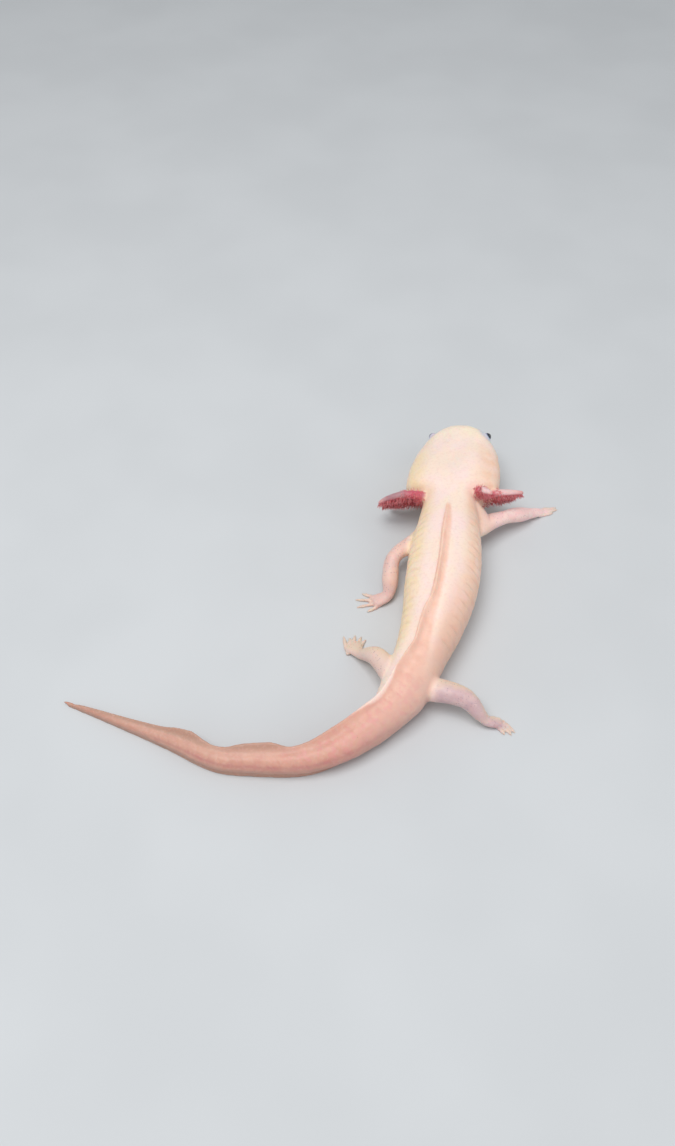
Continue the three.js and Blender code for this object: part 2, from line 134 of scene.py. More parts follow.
DROP = profile([
    (0, 3.8), (9, 5.2), (20, 6.8), (32, 7.6), (41, 7.6), (60, 9.4), (75, 10.1), (95, 10),
    (119, 8.7), (132, 7.3), (145, 5), (155, 4), (164, 3.4), (181, 3), (193, 2.7),
    (204, 2.1), (219, 1.4), (232, 0.8), (240, 0.45)])
SQUARENESS = profile([(0, 2.4), (34, 2.4), (50, 2.15), (100, 2.15), (130, 2), (240, 2)])
ROLL = profile([
    (0, 13), (20, 12), (34, 7), (38, 6), (60, 3), (100, 3), (125, 8), (160, 22), (200, 27),
    (240, 22)])
HEAD_ROUND, SNOUT_ROUND, TIP_ROUND = 27, 6, 3
print("widths at head, trunk and hip:", np.round(WIDTH([25, 67, HIP]), 1), "mm")

# %% [markdown]
# ## The spine
# The spine is a curve on the floor plan. Its heading is given in degrees, and its points are
# the running sum of short steps in that heading, started so that the hip is over the origin.
# Each place has a frame of three directions: the animal's left, up its back, and ahead to the
# snout. The whole frame is rolled a little, because a resting tail leans over.

# %% Spine and section frames
PACE = 0.25
FINE = np.arange(-6, LENGTH + 6, PACE)
halfway = np.radians(HEADING(FINE[:-1] + PACE / 2))
spine = np.cumsum(PACE * np.stack([np.sin(halfway), np.cos(halfway)], 1), axis=0)
spine = np.concatenate([[[0, 0]], spine])
spine -= [np.interp(HIP, FINE, spine[:, 0]), np.interp(HIP, FINE, spine[:, 1])]


def bearing(degrees):
    """A level direction, in degrees from +Y towards +X."""
    angle = np.radians(degrees)
    return np.stack([np.sin(angle), np.cos(angle), 0 * angle], -1)


def section(place):
    """Centre, left, up and ahead of the section at each place, each as (n, 3).

    Up is the vertical leaned over by the roll towards left, which is up crossed with ahead.
    """
    place = np.atleast_1d(np.asarray(place, float))
    centre = np.stack(
        [np.interp(place, FINE, spine[:, 0]), np.interp(place, FINE, spine[:, 1]), LINE(place)], -1)
    ahead = -bearing(HEADING(place))
    level_left = np.cross([0, 0, 1], ahead)
    lean = np.radians(ROLL(place))[:, None]
    up = np.cos(lean) * np.array([0, 0, 1]) + np.sin(lean) * level_left
    return centre, np.cross(up, ahead), up, ahead


def to_row(place, left, up, ahead=0):
    """The point at the given distances from the middle of the section at a place."""
    centre, x, y, z = section(place)
    return (centre + x * np.atleast_1d(left)[:, None] + y * np.atleast_1d(up)[:, None]
            + z * np.atleast_1d(ahead)[:, None])


print("snout at", np.round(to_row(0, 0, 0)[0], 1), "tail tip at", np.round(to_row(240, 0, 0)[0], 1))

# %% [markdown]
# ## Closed forms
# Each length of the animal starts as rings of points, a grid of (along, around). A grid
# becomes a closed tube when each ring joins the next and a middle point closes both ends.
# Whole index arrays make the faces, so no loop visits the points one by one.

# %% Tubes from rings
def tube(rings):
    """Points and triangles of the closed tube over rings shaped (n, m, 3)."""
    n, m, _ = rings.shape
    k = np.arange(m)
    nxt = (k + 1) % m
    low = (np.arange(n - 1) * m)[:, None]
    a, b = low + k, low + nxt
    side = np.concatenate([np.stack([a, b, b + m], -1), np.stack([a, b + m, a + m], -1)])
    last = (n - 1) * m
    near = np.stack([np.full(m, n * m), nxt, k], -1)
    far = np.stack([np.full(m, n * m + 1), last + k, last + nxt], -1)
    points = np.concatenate([rings.reshape(-1, 3), rings[0].mean(0)[None], rings[-1].mean(0)[None]])
    faces = np.concatenate([side.reshape(-1, 3), near, far])
    corner = points[faces]
    volume = np.einsum("ij,ij->", corner[:, 0], np.cross(corner[:, 1], corner[:, 2]))
    return points, faces[:, ::-1] if volume < 0 else faces


def join(forms):
    """One list of points and faces from several."""
    counts = np.cumsum([0] + [len(points) for points, _ in forms[:-1]])
    points = np.concatenate([points for points, _ in forms])
    return points, np.concatenate([faces + start for (_, faces), start in zip(forms, counts)])


def mesh_object(name, points, faces):
    """A smooth-shaded mesh object from points in millimetres."""
    mesh = bpy.data.meshes.new(name)
    mesh.from_pydata((points * MM).tolist(), [], faces.tolist())
    mesh.polygons.foreach_set("use_smooth", np.ones(len(mesh.polygons), bool))
    obj = bpy.data.objects.new(name, mesh)
    bpy.context.scene.collection.objects.link(obj)
    return obj


def on_floor(points):
    """Nothing goes below the floor: lower points are pressed flat on it."""
    points = points.copy()
    points[..., 2] = np.maximum(points[..., 2], 0)
    return points


# %% [markdown]
# ## Body
# A section of the body is a boxy ellipse, cos and sin raised to 2 / squareness, with its own
# height above and below its widest line. The snout and the tail tip close as quarter ellipses.

# %% Body rings
def half_sizes(place):
    """Half width, height above and depth below the line, rounded off at snout and tail tip."""
    tip = rounding(LENGTH - place, TIP_ROUND)
    muzzle = rounding(place, SNOUT_ROUND) * tip
    return WIDTH(place) / 2 * rounding(place, HEAD_ROUND) * tip, RISE(place) * muzzle, DROP(place) * muzzle


def body_rings(places, sides):
    """Rings of the body: left = w * cos^p and up = h * sin^p, with p = 2 / squareness."""
    turn = 2 * np.pi * (np.arange(sides) + 0.5) / sides
    power = (2 / SQUARENESS(places))[:, None]
    across = np.sign(np.cos(turn)) * np.abs(np.cos(turn)) ** power
    upward = np.sign(np.sin(turn)) * np.abs(np.sin(turn)) ** power
    width, rise, drop = (v[:, None] for v in half_sizes(places))
    centre, left, up, _ = (v[:, None] for v in section(places))
    height = np.where(upward > 0, rise, drop)
    return centre + left * (across * width)[..., None] + up * (upward * height)[..., None]


BODY_PLACES = np.concatenate([
    12 * (1 - np.cos(np.linspace(0.02, np.pi / 2, 30))), np.arange(12.6, 237, 0.7),
    LENGTH - TIP_ROUND * np.cos(np.linspace(0.1, 1.55, 8))])
body = tube(on_floor(body_rings(BODY_PLACES, 120)))
print("body:", len(body[1]), "triangles")

# %% [markdown]
# ## Fins
# A low fin runs from the nape down the back and round the tail. It is a blade: thick at its
# root, thin at its edge, and it has flopped over to the animal's left, as a fin does out of
# balance with the water. Under the tail a second fin reaches down to the floor.

# %% Fin blades
FIN_ROOT, FIN_EDGE, FIN_FULL_WIDTH, PRESS = 1.9, 0.62, 5, 0.2
FIN_THICKNESS = profile([(0, 2.8), (0.3, 1.9), (0.55, 1.3), (1, 0.7)])
DORSAL_HEIGHT = profile([
    (41, 0), (45, 0.5), (50, 1), (62, 1.6), (86, 1.9), (93, 2.5), (98, 2.4), (104, 2.2),
    (110, 2.6), (116, 3.2), (122, 2.9), (128, 2.6), (135, 2.9), (145, 2.9), (155, 2.2),
    (161, 1.8), (168, 3.5), (176, 3), (182, 1.8), (186, 1.5), (190, 2.2), (195, 3.2), (199, 2.8),
    (205, 1.7), (219, 1), (229, 0.6), (238, -0.1)])
DORSAL_LEAN = profile([
    (43, 10), (50, 18), (60, 26), (70, 22), (86, 22), (92, 35), (98, 33), (104, 25), (110, 37),
    (116, 49), (122, 42), (128, 36), (135, 39), (145, 33), (160, 25), (237, 10)])


def fin_line(places, upward):
    """Root, height and lean of the fin: it goes from inside the body to its edge or the floor."""
    line = RISE(places) if upward else DROP(places)
    root = np.maximum(0, line - FIN_ROOT)
    floor = LINE(places) / np.cos(np.radians(ROLL(places))) + PRESS
    height = (line + DORSAL_HEIGHT(places) if upward else floor) - root
    return root, height, np.radians(DORSAL_LEAN(places) * upward)


def fin_rings(places, upward):
    """Rings of a blade: two faces half a thickness each side of a line that leans from the back.

    The thickness closes at the edge as a quarter ellipse over the last tenth of the height.
    """
    level = np.concatenate([np.linspace(0, 0.9, 8), [0.95, 0.985, 1]])
    level = np.concatenate([level, level[::-1]])[None]
    face = np.repeat([1, -1], level.shape[1] // 2)[None]
    root, height, lean = fin_line(places, upward)
    lean = lean[:, None]
    thin = np.minimum(1, WIDTH(places) / FIN_FULL_WIDTH)[:, None]
    edge = rounding(1 - level, 0.1)
    half = face * np.maximum(FIN_EDGE, FIN_THICKNESS(level) * thin) / 2 * edge
    reach = level * height[:, None]
    across = np.sin(lean) * reach + np.cos(lean) * half
    rise = root[:, None] + np.cos(lean) * reach - np.sin(lean) * half
    centre, left, up, _ = (v[:, None] for v in section(places))
    sign = 1 if upward else -1
    return on_floor(centre + left * across[..., None] + up * (sign * rise)[..., None])


fins = [tube(fin_rings(np.arange(42, 238.5, 0.6), 1)), tube(fin_rings(np.arange(131, 238.5, 0.6), 0))]
print("fins:", sum(len(faces) for _, faces in fins), "triangles")

# %% [markdown]
# ## Limbs
# A limb's centre line goes through four joints: root, elbow or knee, wrist or ankle, and
# knuckles. A centripetal Catmull-Rom curve joins them without loops or overshoot. Width and
# height follow the joint numbers 0 to 3. Four fingers or five toes grow from the knuckles. The
# right arm reaches ahead, which pulls a web of skin taut between the neck and the shoulder.

# %% Limb measures
ARM = {
    "lengths": (15, 13, 5.5),
    "wide": profile([
        (0, 9), (0.25, 8), (0.6, 5.8), (1, 5.2), (1.5, 5.8), (2, 4.2), (2.6, 5), (3, 5.2)]),
    "tall": profile([(0, 6.6), (0.6, 5.3), (1, 5), (1.5, 5.3), (2, 3.5), (2.6, 2.4), (3, 1.9)])}
LEG = {
    "lengths": (13.6, 10.2, 5.2),
    "wide": profile([(0, 8.4), (0.6, 7.4), (1, 6.6), (1.4, 5.4), (2, 3.6), (2.6, 5.6), (3, 6.2)]),
    "tall": profile([(0, 8), (0.6, 7), (1, 6.4), (1.4, 5.1), (2, 3.1), (2.6, 2.5), (3, 1.9)])}
STANCE = [
    {"limb": ARM, "root": (53.4, 7.5), "bearings": (52, 11, 70, 86), "heights": (9.5, 9.2, 2.6, 0.9),
     "digits": (4.6, 6.8, 6.5, 4.5), "spread": 17, "curl": 0, "breadth": 1},
    {"limb": ARM, "root": (46.6, -8.9), "bearings": (-119.5, -119.5, -116, -111),
     "heights": (9.5, 7.4, 2.6, 0.9),
     "digits": (4.5, 6.8, 6.8, 4.6), "spread": 2, "curl": 0, "breadth": 0.62},
    {"limb": LEG, "root": (117.7, 1), "bearings": (148.5, 135, 153, 188),
     "heights": (8.4, 9.1, 2.9, 0.9),
     "digits": (7, 4.9, 5, 4.6, 3.2), "spread": 10, "curl": 4, "breadth": 0.95},
    {"limb": LEG, "root": (113.9, -4.6), "bearings": (-72.5, -56.5, -94, -78),
     "heights": (8.4, 8.6, 2.9, 0.9),
     "digits": (4.2, 5.6, 6, 5.6, 3.6), "spread": 6, "curl": 42, "breadth": 0.5}]
print("limbs:", len(STANCE), "digits:", [len(stance["digits"]) for stance in STANCE])


# %% Limb paths
def limb_joints(stance):
    """The four joints of a limb, each a stated length and bearing on from the last."""
    heights = stance["heights"]
    joints = [to_row(stance["root"][0], stance["root"][1], 0)[0]]
    joints[0][2] = heights[0]
    lengths, bearings = stance["limb"]["lengths"], stance["bearings"]
    for length, turn, low, high in zip(lengths, bearings, heights[1:], heights):
        run = math.sqrt(length**2 - (high - low) ** 2)
        joints.append(np.append((joints[-1] + run * bearing(turn))[:2], low))
    return np.array(joints)


def smooth_path(joints, count):
    """Points of the centripetal Catmull-Rom curve, count for each stretch between joints.

    Knots are spaced by the square root of the distance, and the ends mirror their neighbours.
    """
    ends = np.concatenate([[2 * joints[0] - joints[1]], joints, [2 * joints[-1] - joints[-2]]])
    knot = np.sqrt(np.linalg.norm(np.diff(ends, axis=0), axis=1))
    w = np.linspace(0, 1, count, endpoint=False)[:, None]
    stretches = []
    for i in range(len(joints) - 1):
        p0, p1, p2, p3 = ends[i:i + 4]
        k0, k1, k2 = knot[i:i + 3]
        start = ((p1 - p0) / k0 - (p2 - p0) / (k0 + k1) + (p2 - p1) / k1) * k1
        end = ((p2 - p1) / k1 - (p3 - p1) / (k1 + k2) + (p3 - p2) / k2) * k1
        stretches.append(
            p1 + start * w + (3 * (p2 - p1) - 2 * start - end) * w**2
            + (2 * (p1 - p2) + start + end) * w**3)
    return np.concatenate(stretches + [joints[-1:]])


def oval_rings(path, wide, tall, sides):
    """Ovals across a path, one of their flat sides downwards."""
    along = np.gradient(path, axis=0)
    across = np.cross([0, 0, 1], along)
    across /= np.linalg.norm(across, axis=1, keepdims=True)
    over = np.cross(along, across)
    over /= np.linalg.norm(over, axis=1, keepdims=True)
    turn = 2 * np.pi * (np.arange(sides) + 0.5) / sides - np.pi / 2
    x = np.cos(turn)[None, :, None] * (np.asarray(wide) / 2).reshape(-1, 1, 1)
    y = np.sin(turn)[None, :, None] * (np.asarray(tall) / 2).reshape(-1, 1, 1)
    return on_floor(path[:, None] + across[:, None] * x + over[:, None] * y)


print("left hand at", np.round(limb_joints(STANCE[0])[-1], 1))

# %% Legs, arms, fingers and toes
PER_STRETCH = 24
DIGIT_WIDTH = profile([(0, 1.55), (0.3, 1.45), (0.7, 1.15), (1, 0.8)])
DIGIT_PITCH, DIGIT_INSIDE, DIGIT_SETBACK, DIGIT_LIFT = 1.45, 1.6, 0.5, 0.81


def limb_form(stance, path):
    """The limb's tube; the paw is narrowed by its breadth towards the knuckles."""
    along = np.arange(len(path)) / PER_STRETCH
    narrow = 1 + (stance["breadth"] - 1) * np.clip(along - 2, 0, 1)
    wide = stance["limb"]["wide"](along) * narrow
    return tube(oval_rings(path, wide, stance["limb"]["tall"](along), 28))


def digit_lines(stance, knuckle):
    """Centre line of each finger or toe, spread like a fan and lying on the floor.

    Its direction turns evenly from the first to the last, so the line is the sum
    start + reach * (first * (t - t*t/2) + last * t*t/2).
    """
    digits, ahead = stance["digits"], bearing(stance["bearings"][2])
    across = bearing(stance["bearings"][2] + 90)
    t = np.linspace(0, 1, 14)[:, None]
    lines = []
    for k, length in enumerate(digits):
        offset = k - (len(digits) - 1) / 2
        turn = stance["bearings"][3] + offset * stance["spread"]
        first, last = bearing(turn), bearing(turn + stance["curl"])
        start = knuckle + across * offset * stance["breadth"] * DIGIT_PITCH
        start = start - ahead * abs(offset) * DIGIT_SETBACK - first * DIGIT_INSIDE
        line = start + (length + DIGIT_INSIDE) * (first * (t - t * t / 2) + last * t * t / 2)
        line[:, 2] = DIGIT_WIDTH(t[:, 0]) / 2 * DIGIT_LIFT - PRESS
        lines.append(line)
    return lines


def digit_form(line):
    """A finger: a tapering tube whose last fifth closes as a quarter ellipse."""
    share = np.linspace(0, 1, len(line))
    width = DIGIT_WIDTH(share) * np.maximum(0.25, rounding(1 - share, 0.12))
    return tube(oval_rings(line, width, width, 12))


limbs, limb_paths, digit_paths = [], [], []
for stance in STANCE:
    joints = limb_joints(stance)
    path = smooth_path(joints, PER_STRETCH)
    lines = digit_lines(stance, joints[-1])
    limb_paths.append(path)
    digit_paths += lines
    limbs += [limb_form(stance, path)] + [digit_form(line) for line in lines]
print("limbs and digits:", sum(len(faces) for _, faces in limbs), "triangles")

# %% Web between neck and right shoulder
WEB_NECK, WEB_ARM_POINT, WEB_RINGS = (40, -6.8, 1), 7, 12
web_path = np.linspace(to_row(*WEB_NECK)[0], limb_paths[1][WEB_ARM_POINT], WEB_RINGS)
web = tube(oval_rings(web_path, np.linspace(6, 7.4, WEB_RINGS), np.linspace(9, 6.4, WEB_RINGS), 24))
print("web:", round(float(np.linalg.norm(web_path[-1] - web_path[0])), 1), "mm long")

# %% [markdown]
# ## Gill stalks
# Three fleshy stalks stand behind each cheek. Each is a curved, tapering tube on a quadratic
# Bezier line: (1-u)^2 a + 2u(1-u) b + u^2 c.

# %% Stalks
GILLS = [
    (1, (35.2, 9.6, -2), (-0.5, 14, -3.2), 1),
    (1, (37, 9.2, 0.8), (2, 16, -2.4), 3),
    (1, (38.8, 8.6, 3.2), (3.4, 17.3, -0.6), 6),
    (-1, (35.2, 9.6, -1.4), (-5.5, 13, -2.6), 1),
    (-1, (36.2, 9.2, 2), (-3.8, 16.4, -1.4), 2),
    (-1, (37, 8.7, 5), (2.5, 6, 2), 2.6)]
STALK_RADIUS = profile([(0, 1.9), (0.5, 1.4), (1, 0.7)])
STALK_POINTS = 40


def gill_path(gill):
    """The stalk's centre line; its offsets are back, out and up from its root."""
    side, (place, out, up), tip, bow = gill
    middle = ((tip[0] + bow) / 2, tip[1] / 2, tip[2] / 2 + 1.5 * bow)
    offsets = np.array([(0, 0, 0), middle, tip], float)
    a, b, c = to_row(np.full(3, place), side * (out + offsets[:, 1]), up + offsets[:, 2], -offsets[:, 0])
    u = np.linspace(0, 1, STALK_POINTS)[:, None]
    return (1 - u) ** 2 * a + 2 * u * (1 - u) * b + u * u * c


def length_of(path):
    """The sum of the distances from each point of a line to the next."""
    return float(np.linalg.norm(np.diff(path, axis=0), axis=1).sum())


gill_paths = [gill_path(gill) for gill in GILLS]
share = np.linspace(0, 1, STALK_POINTS)
stalk_width = 2 * STALK_RADIUS(share) * np.maximum(0.3, rounding(1 - share, 0.07))
stalks = [tube(oval_rings(path, stalk_width, stalk_width, 20)) for path in gill_paths]
print("stalk lengths:", [round(length_of(path), 1) for path in gill_paths])

# %% [markdown]
# ## One skin
# A living skin has no seams, so the forms are merged. A voxel remesh reads their union as a
# field on a fine grid and covers it with even faces. That leaves faint steps, so the points
# are then relaxed: each moves towards the mean of its neighbours, and back out by a little
# more, which smooths without shrinking.

# %% Merge and relax
VOXEL = 0.3 * MM
RELAX_ROUNDS = 6


def applied(obj):
    """The object's mesh with its modifiers applied, as a new mesh."""
    return bpy.data.meshes.new_from_object(obj.evaluated_get(bpy.context.evaluated_depsgraph_get()))


def points_of(mesh):
    """Vertex positions in millimetres, (n, 3)."""
    co = np.empty(len(mesh.vertices) * 3)
    mesh.vertices.foreach_get("co", co)
    return co.reshape(-1, 3) / MM


def edges_of(mesh):
    """Vertex pairs of all edges, (n, 2)."""
    pairs = np.empty(len(mesh.edges) * 2, int)
    mesh.edges.foreach_get("vertices", pairs)
    return pairs.reshape(-1, 2)


def normals_of(mesh):
    """Vertex normals, (n, 3)."""
    normal = np.empty(len(mesh.vertices) * 3, np.float32)
    mesh.vertex_normals.foreach_get("vector", normal)
    return normal.reshape(-1, 3).astype(float)


def set_points(mesh, points):
    """Writes positions in millimetres back to the mesh."""
    mesh.vertices.foreach_set("co", (points * MM).ravel())
    mesh.update()


def relax(points, edges, strength):
    """Moves each point by its strength times the way to its neighbours' mean."""
    n = len(points)
    both = np.concatenate([edges, edges[:, ::-1]])
    count = np.bincount(both[:, 0], minlength=n)
    mean = np.stack([
        np.bincount(both[:, 0], points[both[:, 1], axis], minlength=n) for axis in range(3)], -1)
    mean /= np.maximum(count, 1)[:, None]
    return points + np.asarray(strength).reshape(-1, 1) * (mean - points)


forms = mesh_object("forms", *join([body, web] + fins + limbs + stalks))
remesh = forms.modifiers.new("union", "REMESH")
remesh.mode = "VOXEL"
remesh.voxel_size = VOXEL
skin_mesh = applied(forms)
bpy.data.objects.remove(forms)
points, edges = points_of(skin_mesh), edges_of(skin_mesh)
for _ in range(RELAX_ROUNDS):
    points = relax(points, edges, 0.5)
    points = relax(points, edges, -0.52)
print("skin:", len(points), "points after the merge")

# %% [markdown]
# ## Where each point of the skin is
# Folds, grooves and colours all depend on where a point lies: how far along the spine, how
# far round the body, along which limb. Each point finds the nearest of many samples of a
# centre line. For the body, the remainder along the section's own direction refines it.

# %% Nearest samples
BLOCK = 20000


def nearest(points, samples):
    """Index of and distance to the nearest sample, worked out in blocks of points.

    The squared distance is s*s - 2 p.s + p*p, for which one matrix product does a block.
    """
    index = np.empty(len(points), int)
    gap = np.empty(len(points))
    square = (samples**2).sum(1)
    for start in range(0, len(points), BLOCK):
        block = points[start:start + BLOCK]
        far = square - 2 * block @ samples.T
        best = far.argmin(1)
        index[start:start + BLOCK] = best
        gap[start:start + BLOCK] = np.sqrt(np.maximum(
            far[np.arange(len(block)), best] + (block**2).sum(1), 0))
    return index, gap


snout_gap = nearest(to_row(0, 0, 0), points)[1][0]
print("from the line's start to the skin:", round(float(snout_gap), 2), "mm")

# %% Places on the animal
DIGIT_REACH = 0.75


class Lie:
    """Where points of the skin lie on the animal: arrays with one value for each point.

    place is measured from the snout, and left and up from the section's middle. side and
    rise are those as shares of its half width and half height, and reach is 1 on the body's
    own surface. The on_ values are 1 on a limb, a gill or a fin, and 0 elsewhere.
    """

    def __init__(self, points):
        samples = np.arange(0, LENGTH + 0.1, 0.5)
        index, _ = nearest(points[:, :2], section(samples)[0][:, :2])
        rough = samples[index]
        centre, _, _, ahead = section(rough)
        self.place = np.clip(rough - np.einsum("ij,ij->i", points - centre, ahead), 0, LENGTH)
        centre, left, up, ahead = section(self.place)
        self.left = np.einsum("ij,ij->i", points - centre, left)
        self.up = np.einsum("ij,ij->i", points - centre, up)
        width, rise, drop = half_sizes(np.clip(self.place, 0.6, LENGTH - 0.4))
        height = np.where(self.up > 0, rise, drop)
        power = SQUARENESS(self.place)
        self.side = self.left / width
        self.rise = self.up / height
        self.reach = (np.abs(self.side) ** power + np.abs(self.rise) ** power) ** (1 / power)
        self.limb, self.limb_gap, self.limb_along = self._closest(points, limb_paths, self._limb_size)
        self.digit, self.digit_gap, self.digit_along = self._closest(
            points, digit_paths, lambda k, i: DIGIT_REACH)
        self.gill, self.gill_gap, self.gill_along = self._closest(points, gill_paths, self._stalk_size)
        # off is 1 where a point stands clear of the body's own surface.
        off = step(self.reach, 1.02, 1.22) * step(rough, 1, 8)
        self.on_limb = off * step(-np.minimum(self.limb_gap, self.digit_gap), -1.9, -1.45)
        self.on_gill = off * step(-self.gill_gap, -1.6, -1.25) * (1 - self.on_limb)
        self.on_fin = off * (1 - self.on_limb) * (1 - self.on_gill) * step(self.place, 41, 44)

    @staticmethod
    def _limb_size(k, i):
        limb = STANCE[k]["limb"]
        return (limb["wide"](i / PER_STRETCH) + limb["tall"](i / PER_STRETCH)) / 4

    @staticmethod
    def _stalk_size(k, i):
        return STALK_RADIUS(i / (STALK_POINTS - 1))

    @staticmethod
    def _closest(points, paths, size):
        """For several paths: which is nearest in radii, how many radii away, and how far along."""
        found = [nearest(points, path) for path in paths]
        ratio = np.stack([gap / size(k, index) for k, (index, gap) in enumerate(found)])
        which = ratio.argmin(0)
        along = np.stack([index / (len(path) - 1) for path, (index, _) in zip(paths, found)])
        pick = np.arange(len(points))
        return which, ratio[which, pick], along[which, pick]


lie = Lie(points)
print("points on limbs:", int((lie.on_limb > 0.5).sum()), "on gills:", int((lie.on_gill > 0.5).sum()),
      "on fins:", int((lie.on_fin > 0.5).sum()))

# %% [markdown]
# ## Soft joins
# Where a limb, a stalk or a fin leaves the body, flesh makes a fillet. Points near such a
# join are relaxed much more than the rest.

# %% Fillets
FILLET_ROUNDS = 26
near_join = np.maximum.reduce([
    bell(lie.reach - 1.05, 0.16) * step(-lie.limb_gap, -2.3, -1.2),
    bell(lie.reach - 1.05, 0.12) * step(-lie.gill_gap, -2.4, -1.2),
    0.8 * bell(lie.reach - 1.06, 0.12) * step(lie.place, 40, 46) * step(-lie.limb_gap, -50, -2.2),
    step(-lie.digit_gap, -2.0, -1.0) * bell(lie.digit_along, 0.28)])
for _ in range(FILLET_ROUNDS):
    points = relax(points, edges, 0.6 * near_join)
set_points(skin_mesh, on_floor(points))
print("points in fillets:", int((near_join > 0.3).sum()))

# %% [markdown]
# ## Relief
# Each fold and groove is a small move of the skin along its own normal, given by a formula in
# the places just found. Bell curves make round bumps and furrows; products limit them to a
# region. The eyes are put in first, because the skin must open round them.

# %% Eyes' places
EYE_RADIUS = 1.6
EYE_PLACE, EYE_OUT, EYE_UP = 6.2, 10.3, 2.7


def eye_frame(side):
    """Centre of an eye and the way it looks: out, up and a little forward, the right one higher."""
    centre, left, up, ahead = (v[0] for v in section(EYE_PLACE))
    middle = centre + side * EYE_OUT * left + EYE_UP * up
    look = side * 0.84 * left + (0.28 - 0.14 * side) * up + (0.48 + 0.14 * side) * ahead
    return middle, look / np.linalg.norm(look)


eyes = [eye_frame(1), eye_frame(-1)]
print("eyes at", [np.round(c, 1).tolist() for c, _ in eyes])

# %% Relief of the head
MOUTH_LINE, MOUTH_CORNER = -1.7, 15


def mouth_offset(lie):
    """Height above the line where the lips meet, which lifts a little towards the corners."""
    return lie.up - (MOUTH_LINE + 0.9 * step(lie.place, 2, MOUTH_CORNER) ** 2)


def head_relief(lie):
    """Jaw muscles, brows, lips, nostrils and gill folds, in millimetres outwards."""
    s, x = lie.place, lie.left
    top, head = step(lie.rise, 0.1, 0.6), step(-s, -40, -34)
    # Jaw muscles with a furrow between them, then brows with a hollow beside each.
    out = 0.75 * bell(np.abs(x) - 8.5, 3.6) * bell(s - 23, 7) * top
    out -= 0.45 * bell(x, 2.2) * bell(s - 24, 9) * top
    out += 0.35 * bell(np.abs(x) - 8.6, 2.2) * bell(s - 8.5, 3.4) * top
    out -= 0.3 * bell(np.abs(x) - 4.4, 2) * bell(s - 10, 4.5) * top
    # The line of the mouth, an upper and a lower lip, and the fold at the mouth's corner.
    up = mouth_offset(lie)
    lips = step(-s, -MOUTH_CORNER - 1.6, -MOUTH_CORNER + 0.4)
    out -= 0.62 * bell(up, 0.26) * lips
    out += 0.32 * bell(up - 0.95, 0.6) * lips * head
    out -= 0.22 * bell(up + 0.9, 0.7) * lips
    out -= 0.3 * bell(s - 17.2 - 0.35 * up, 0.7) * bell(up + 0.2, 1.6)
    # Each nostril is a pit with a low rim.
    nostril = np.sqrt((np.abs(x) - 3.7) ** 2 + (lie.up - 1.5) ** 2)
    out += 0.14 * bell(nostril - 0.7, 0.3) * step(-s, -4, -1)
    out -= 0.55 * bell(nostril, 0.42) * step(-s, -4, -1)
    # Two folds curve round the throat, in front of the gills.
    out -= 0.35 * bell(s - 37.2 - 0.02 * x**2, 0.8) * step(-lie.rise, -0.1, 0.4)
    out -= 0.2 * bell(s - 31.5 - 0.02 * x**2, 0.7) * step(-lie.rise, 0.2, 0.6)
    return out * (1 - lie.on_limb) * (1 - lie.on_gill) * step(-s, -42, -38)


def eye_relief(points):
    """A rim that hugs each eyeball, and within it skin that sinks behind the ball's front."""
    out = np.zeros(len(points))
    for centre, look in eyes:
        away = points - centre
        front = away @ look
        aside = np.linalg.norm(away - front[:, None] * look, axis=1)
        near = step(front, -1.2, 0.2)
        out += near * (0.42 * bell(aside - 1.8, 0.4) - 1.5 * step(-aside, -1.34, -1.05))
    return out


print("corner of the mouth:", MOUTH_CORNER, "mm from the snout")

# %% Relief of the body and limbs
GROOVE_PITCH = 3.1


def grooves(lie, points):
    """1 in the middle of a costal groove on the flank, 0 between grooves and elsewhere."""
    s = lie.place
    flank = step(np.abs(lie.side), 0.5, 0.85) * step(s, 44, 52) * step(-s, -112, -98)
    flank = flank * (0.55 + 0.9 * wander(points, 6, 9))
    bent = s + 0.7 * lie.rise + 0.8 * wander(points, 8, 3)
    return flank * bell(np.abs((bent / GROOVE_PITCH) % 1 - 0.5) * GROOVE_PITCH, 0.55)


def body_relief(lie, points):
    """Costal grooves and fine wrinkles on the flanks, faint chevrons and a furrow on the tail."""
    s = lie.place
    out = -0.42 * grooves(lie, points)
    flank = step(np.abs(lie.side), 0.35, 0.7) * step(s, 40, 50)
    out += 0.07 * flank * wander(points, 1.5, 5)
    chevron = np.abs(((s - 2.2 * np.abs(lie.rise)) / 3.6) % 1 - 0.5) * 3.6
    out -= 0.09 * bell(chevron, 0.5) * step(s, 98, 116) * step(-s, -225, -205) * (1 - lie.on_fin)
    out -= 0.12 * bell(np.abs(lie.rise) - 0.05, 0.12) * step(s, 124, 140) * step(-s, -220, -200)
    return out * (1 - lie.on_limb) * (1 - lie.on_gill)


def limb_relief(lie):
    """Creases at elbow, knee, wrist and ankle, and a slight swelling at finger joints."""
    joint = lie.limb_along * 3
    crease = np.abs(((joint * 7) % 1) - 0.5)
    out = -0.1 * bell(crease, 0.16) * (bell(joint - 1, 0.16) + bell(joint - 2, 0.14)) * lie.on_limb
    return out + 0.06 * np.sin(lie.digit_along * 20) * step(-lie.digit_gap, -1.5, -1.1) * lie.on_limb


def wander(points, size, seed):
    """Soft unevenness: a mean of sines with random directions and the given wavelength."""
    rng = np.random.default_rng(seed)
    way = rng.normal(size=(8, 3))
    way *= 2 * np.pi / size / np.linalg.norm(way, axis=1, keepdims=True) * rng.uniform(0.7, 1.4, (8, 1))
    return np.sin(points @ way.T + rng.uniform(0, 2 * np.pi, 8)).mean(1)


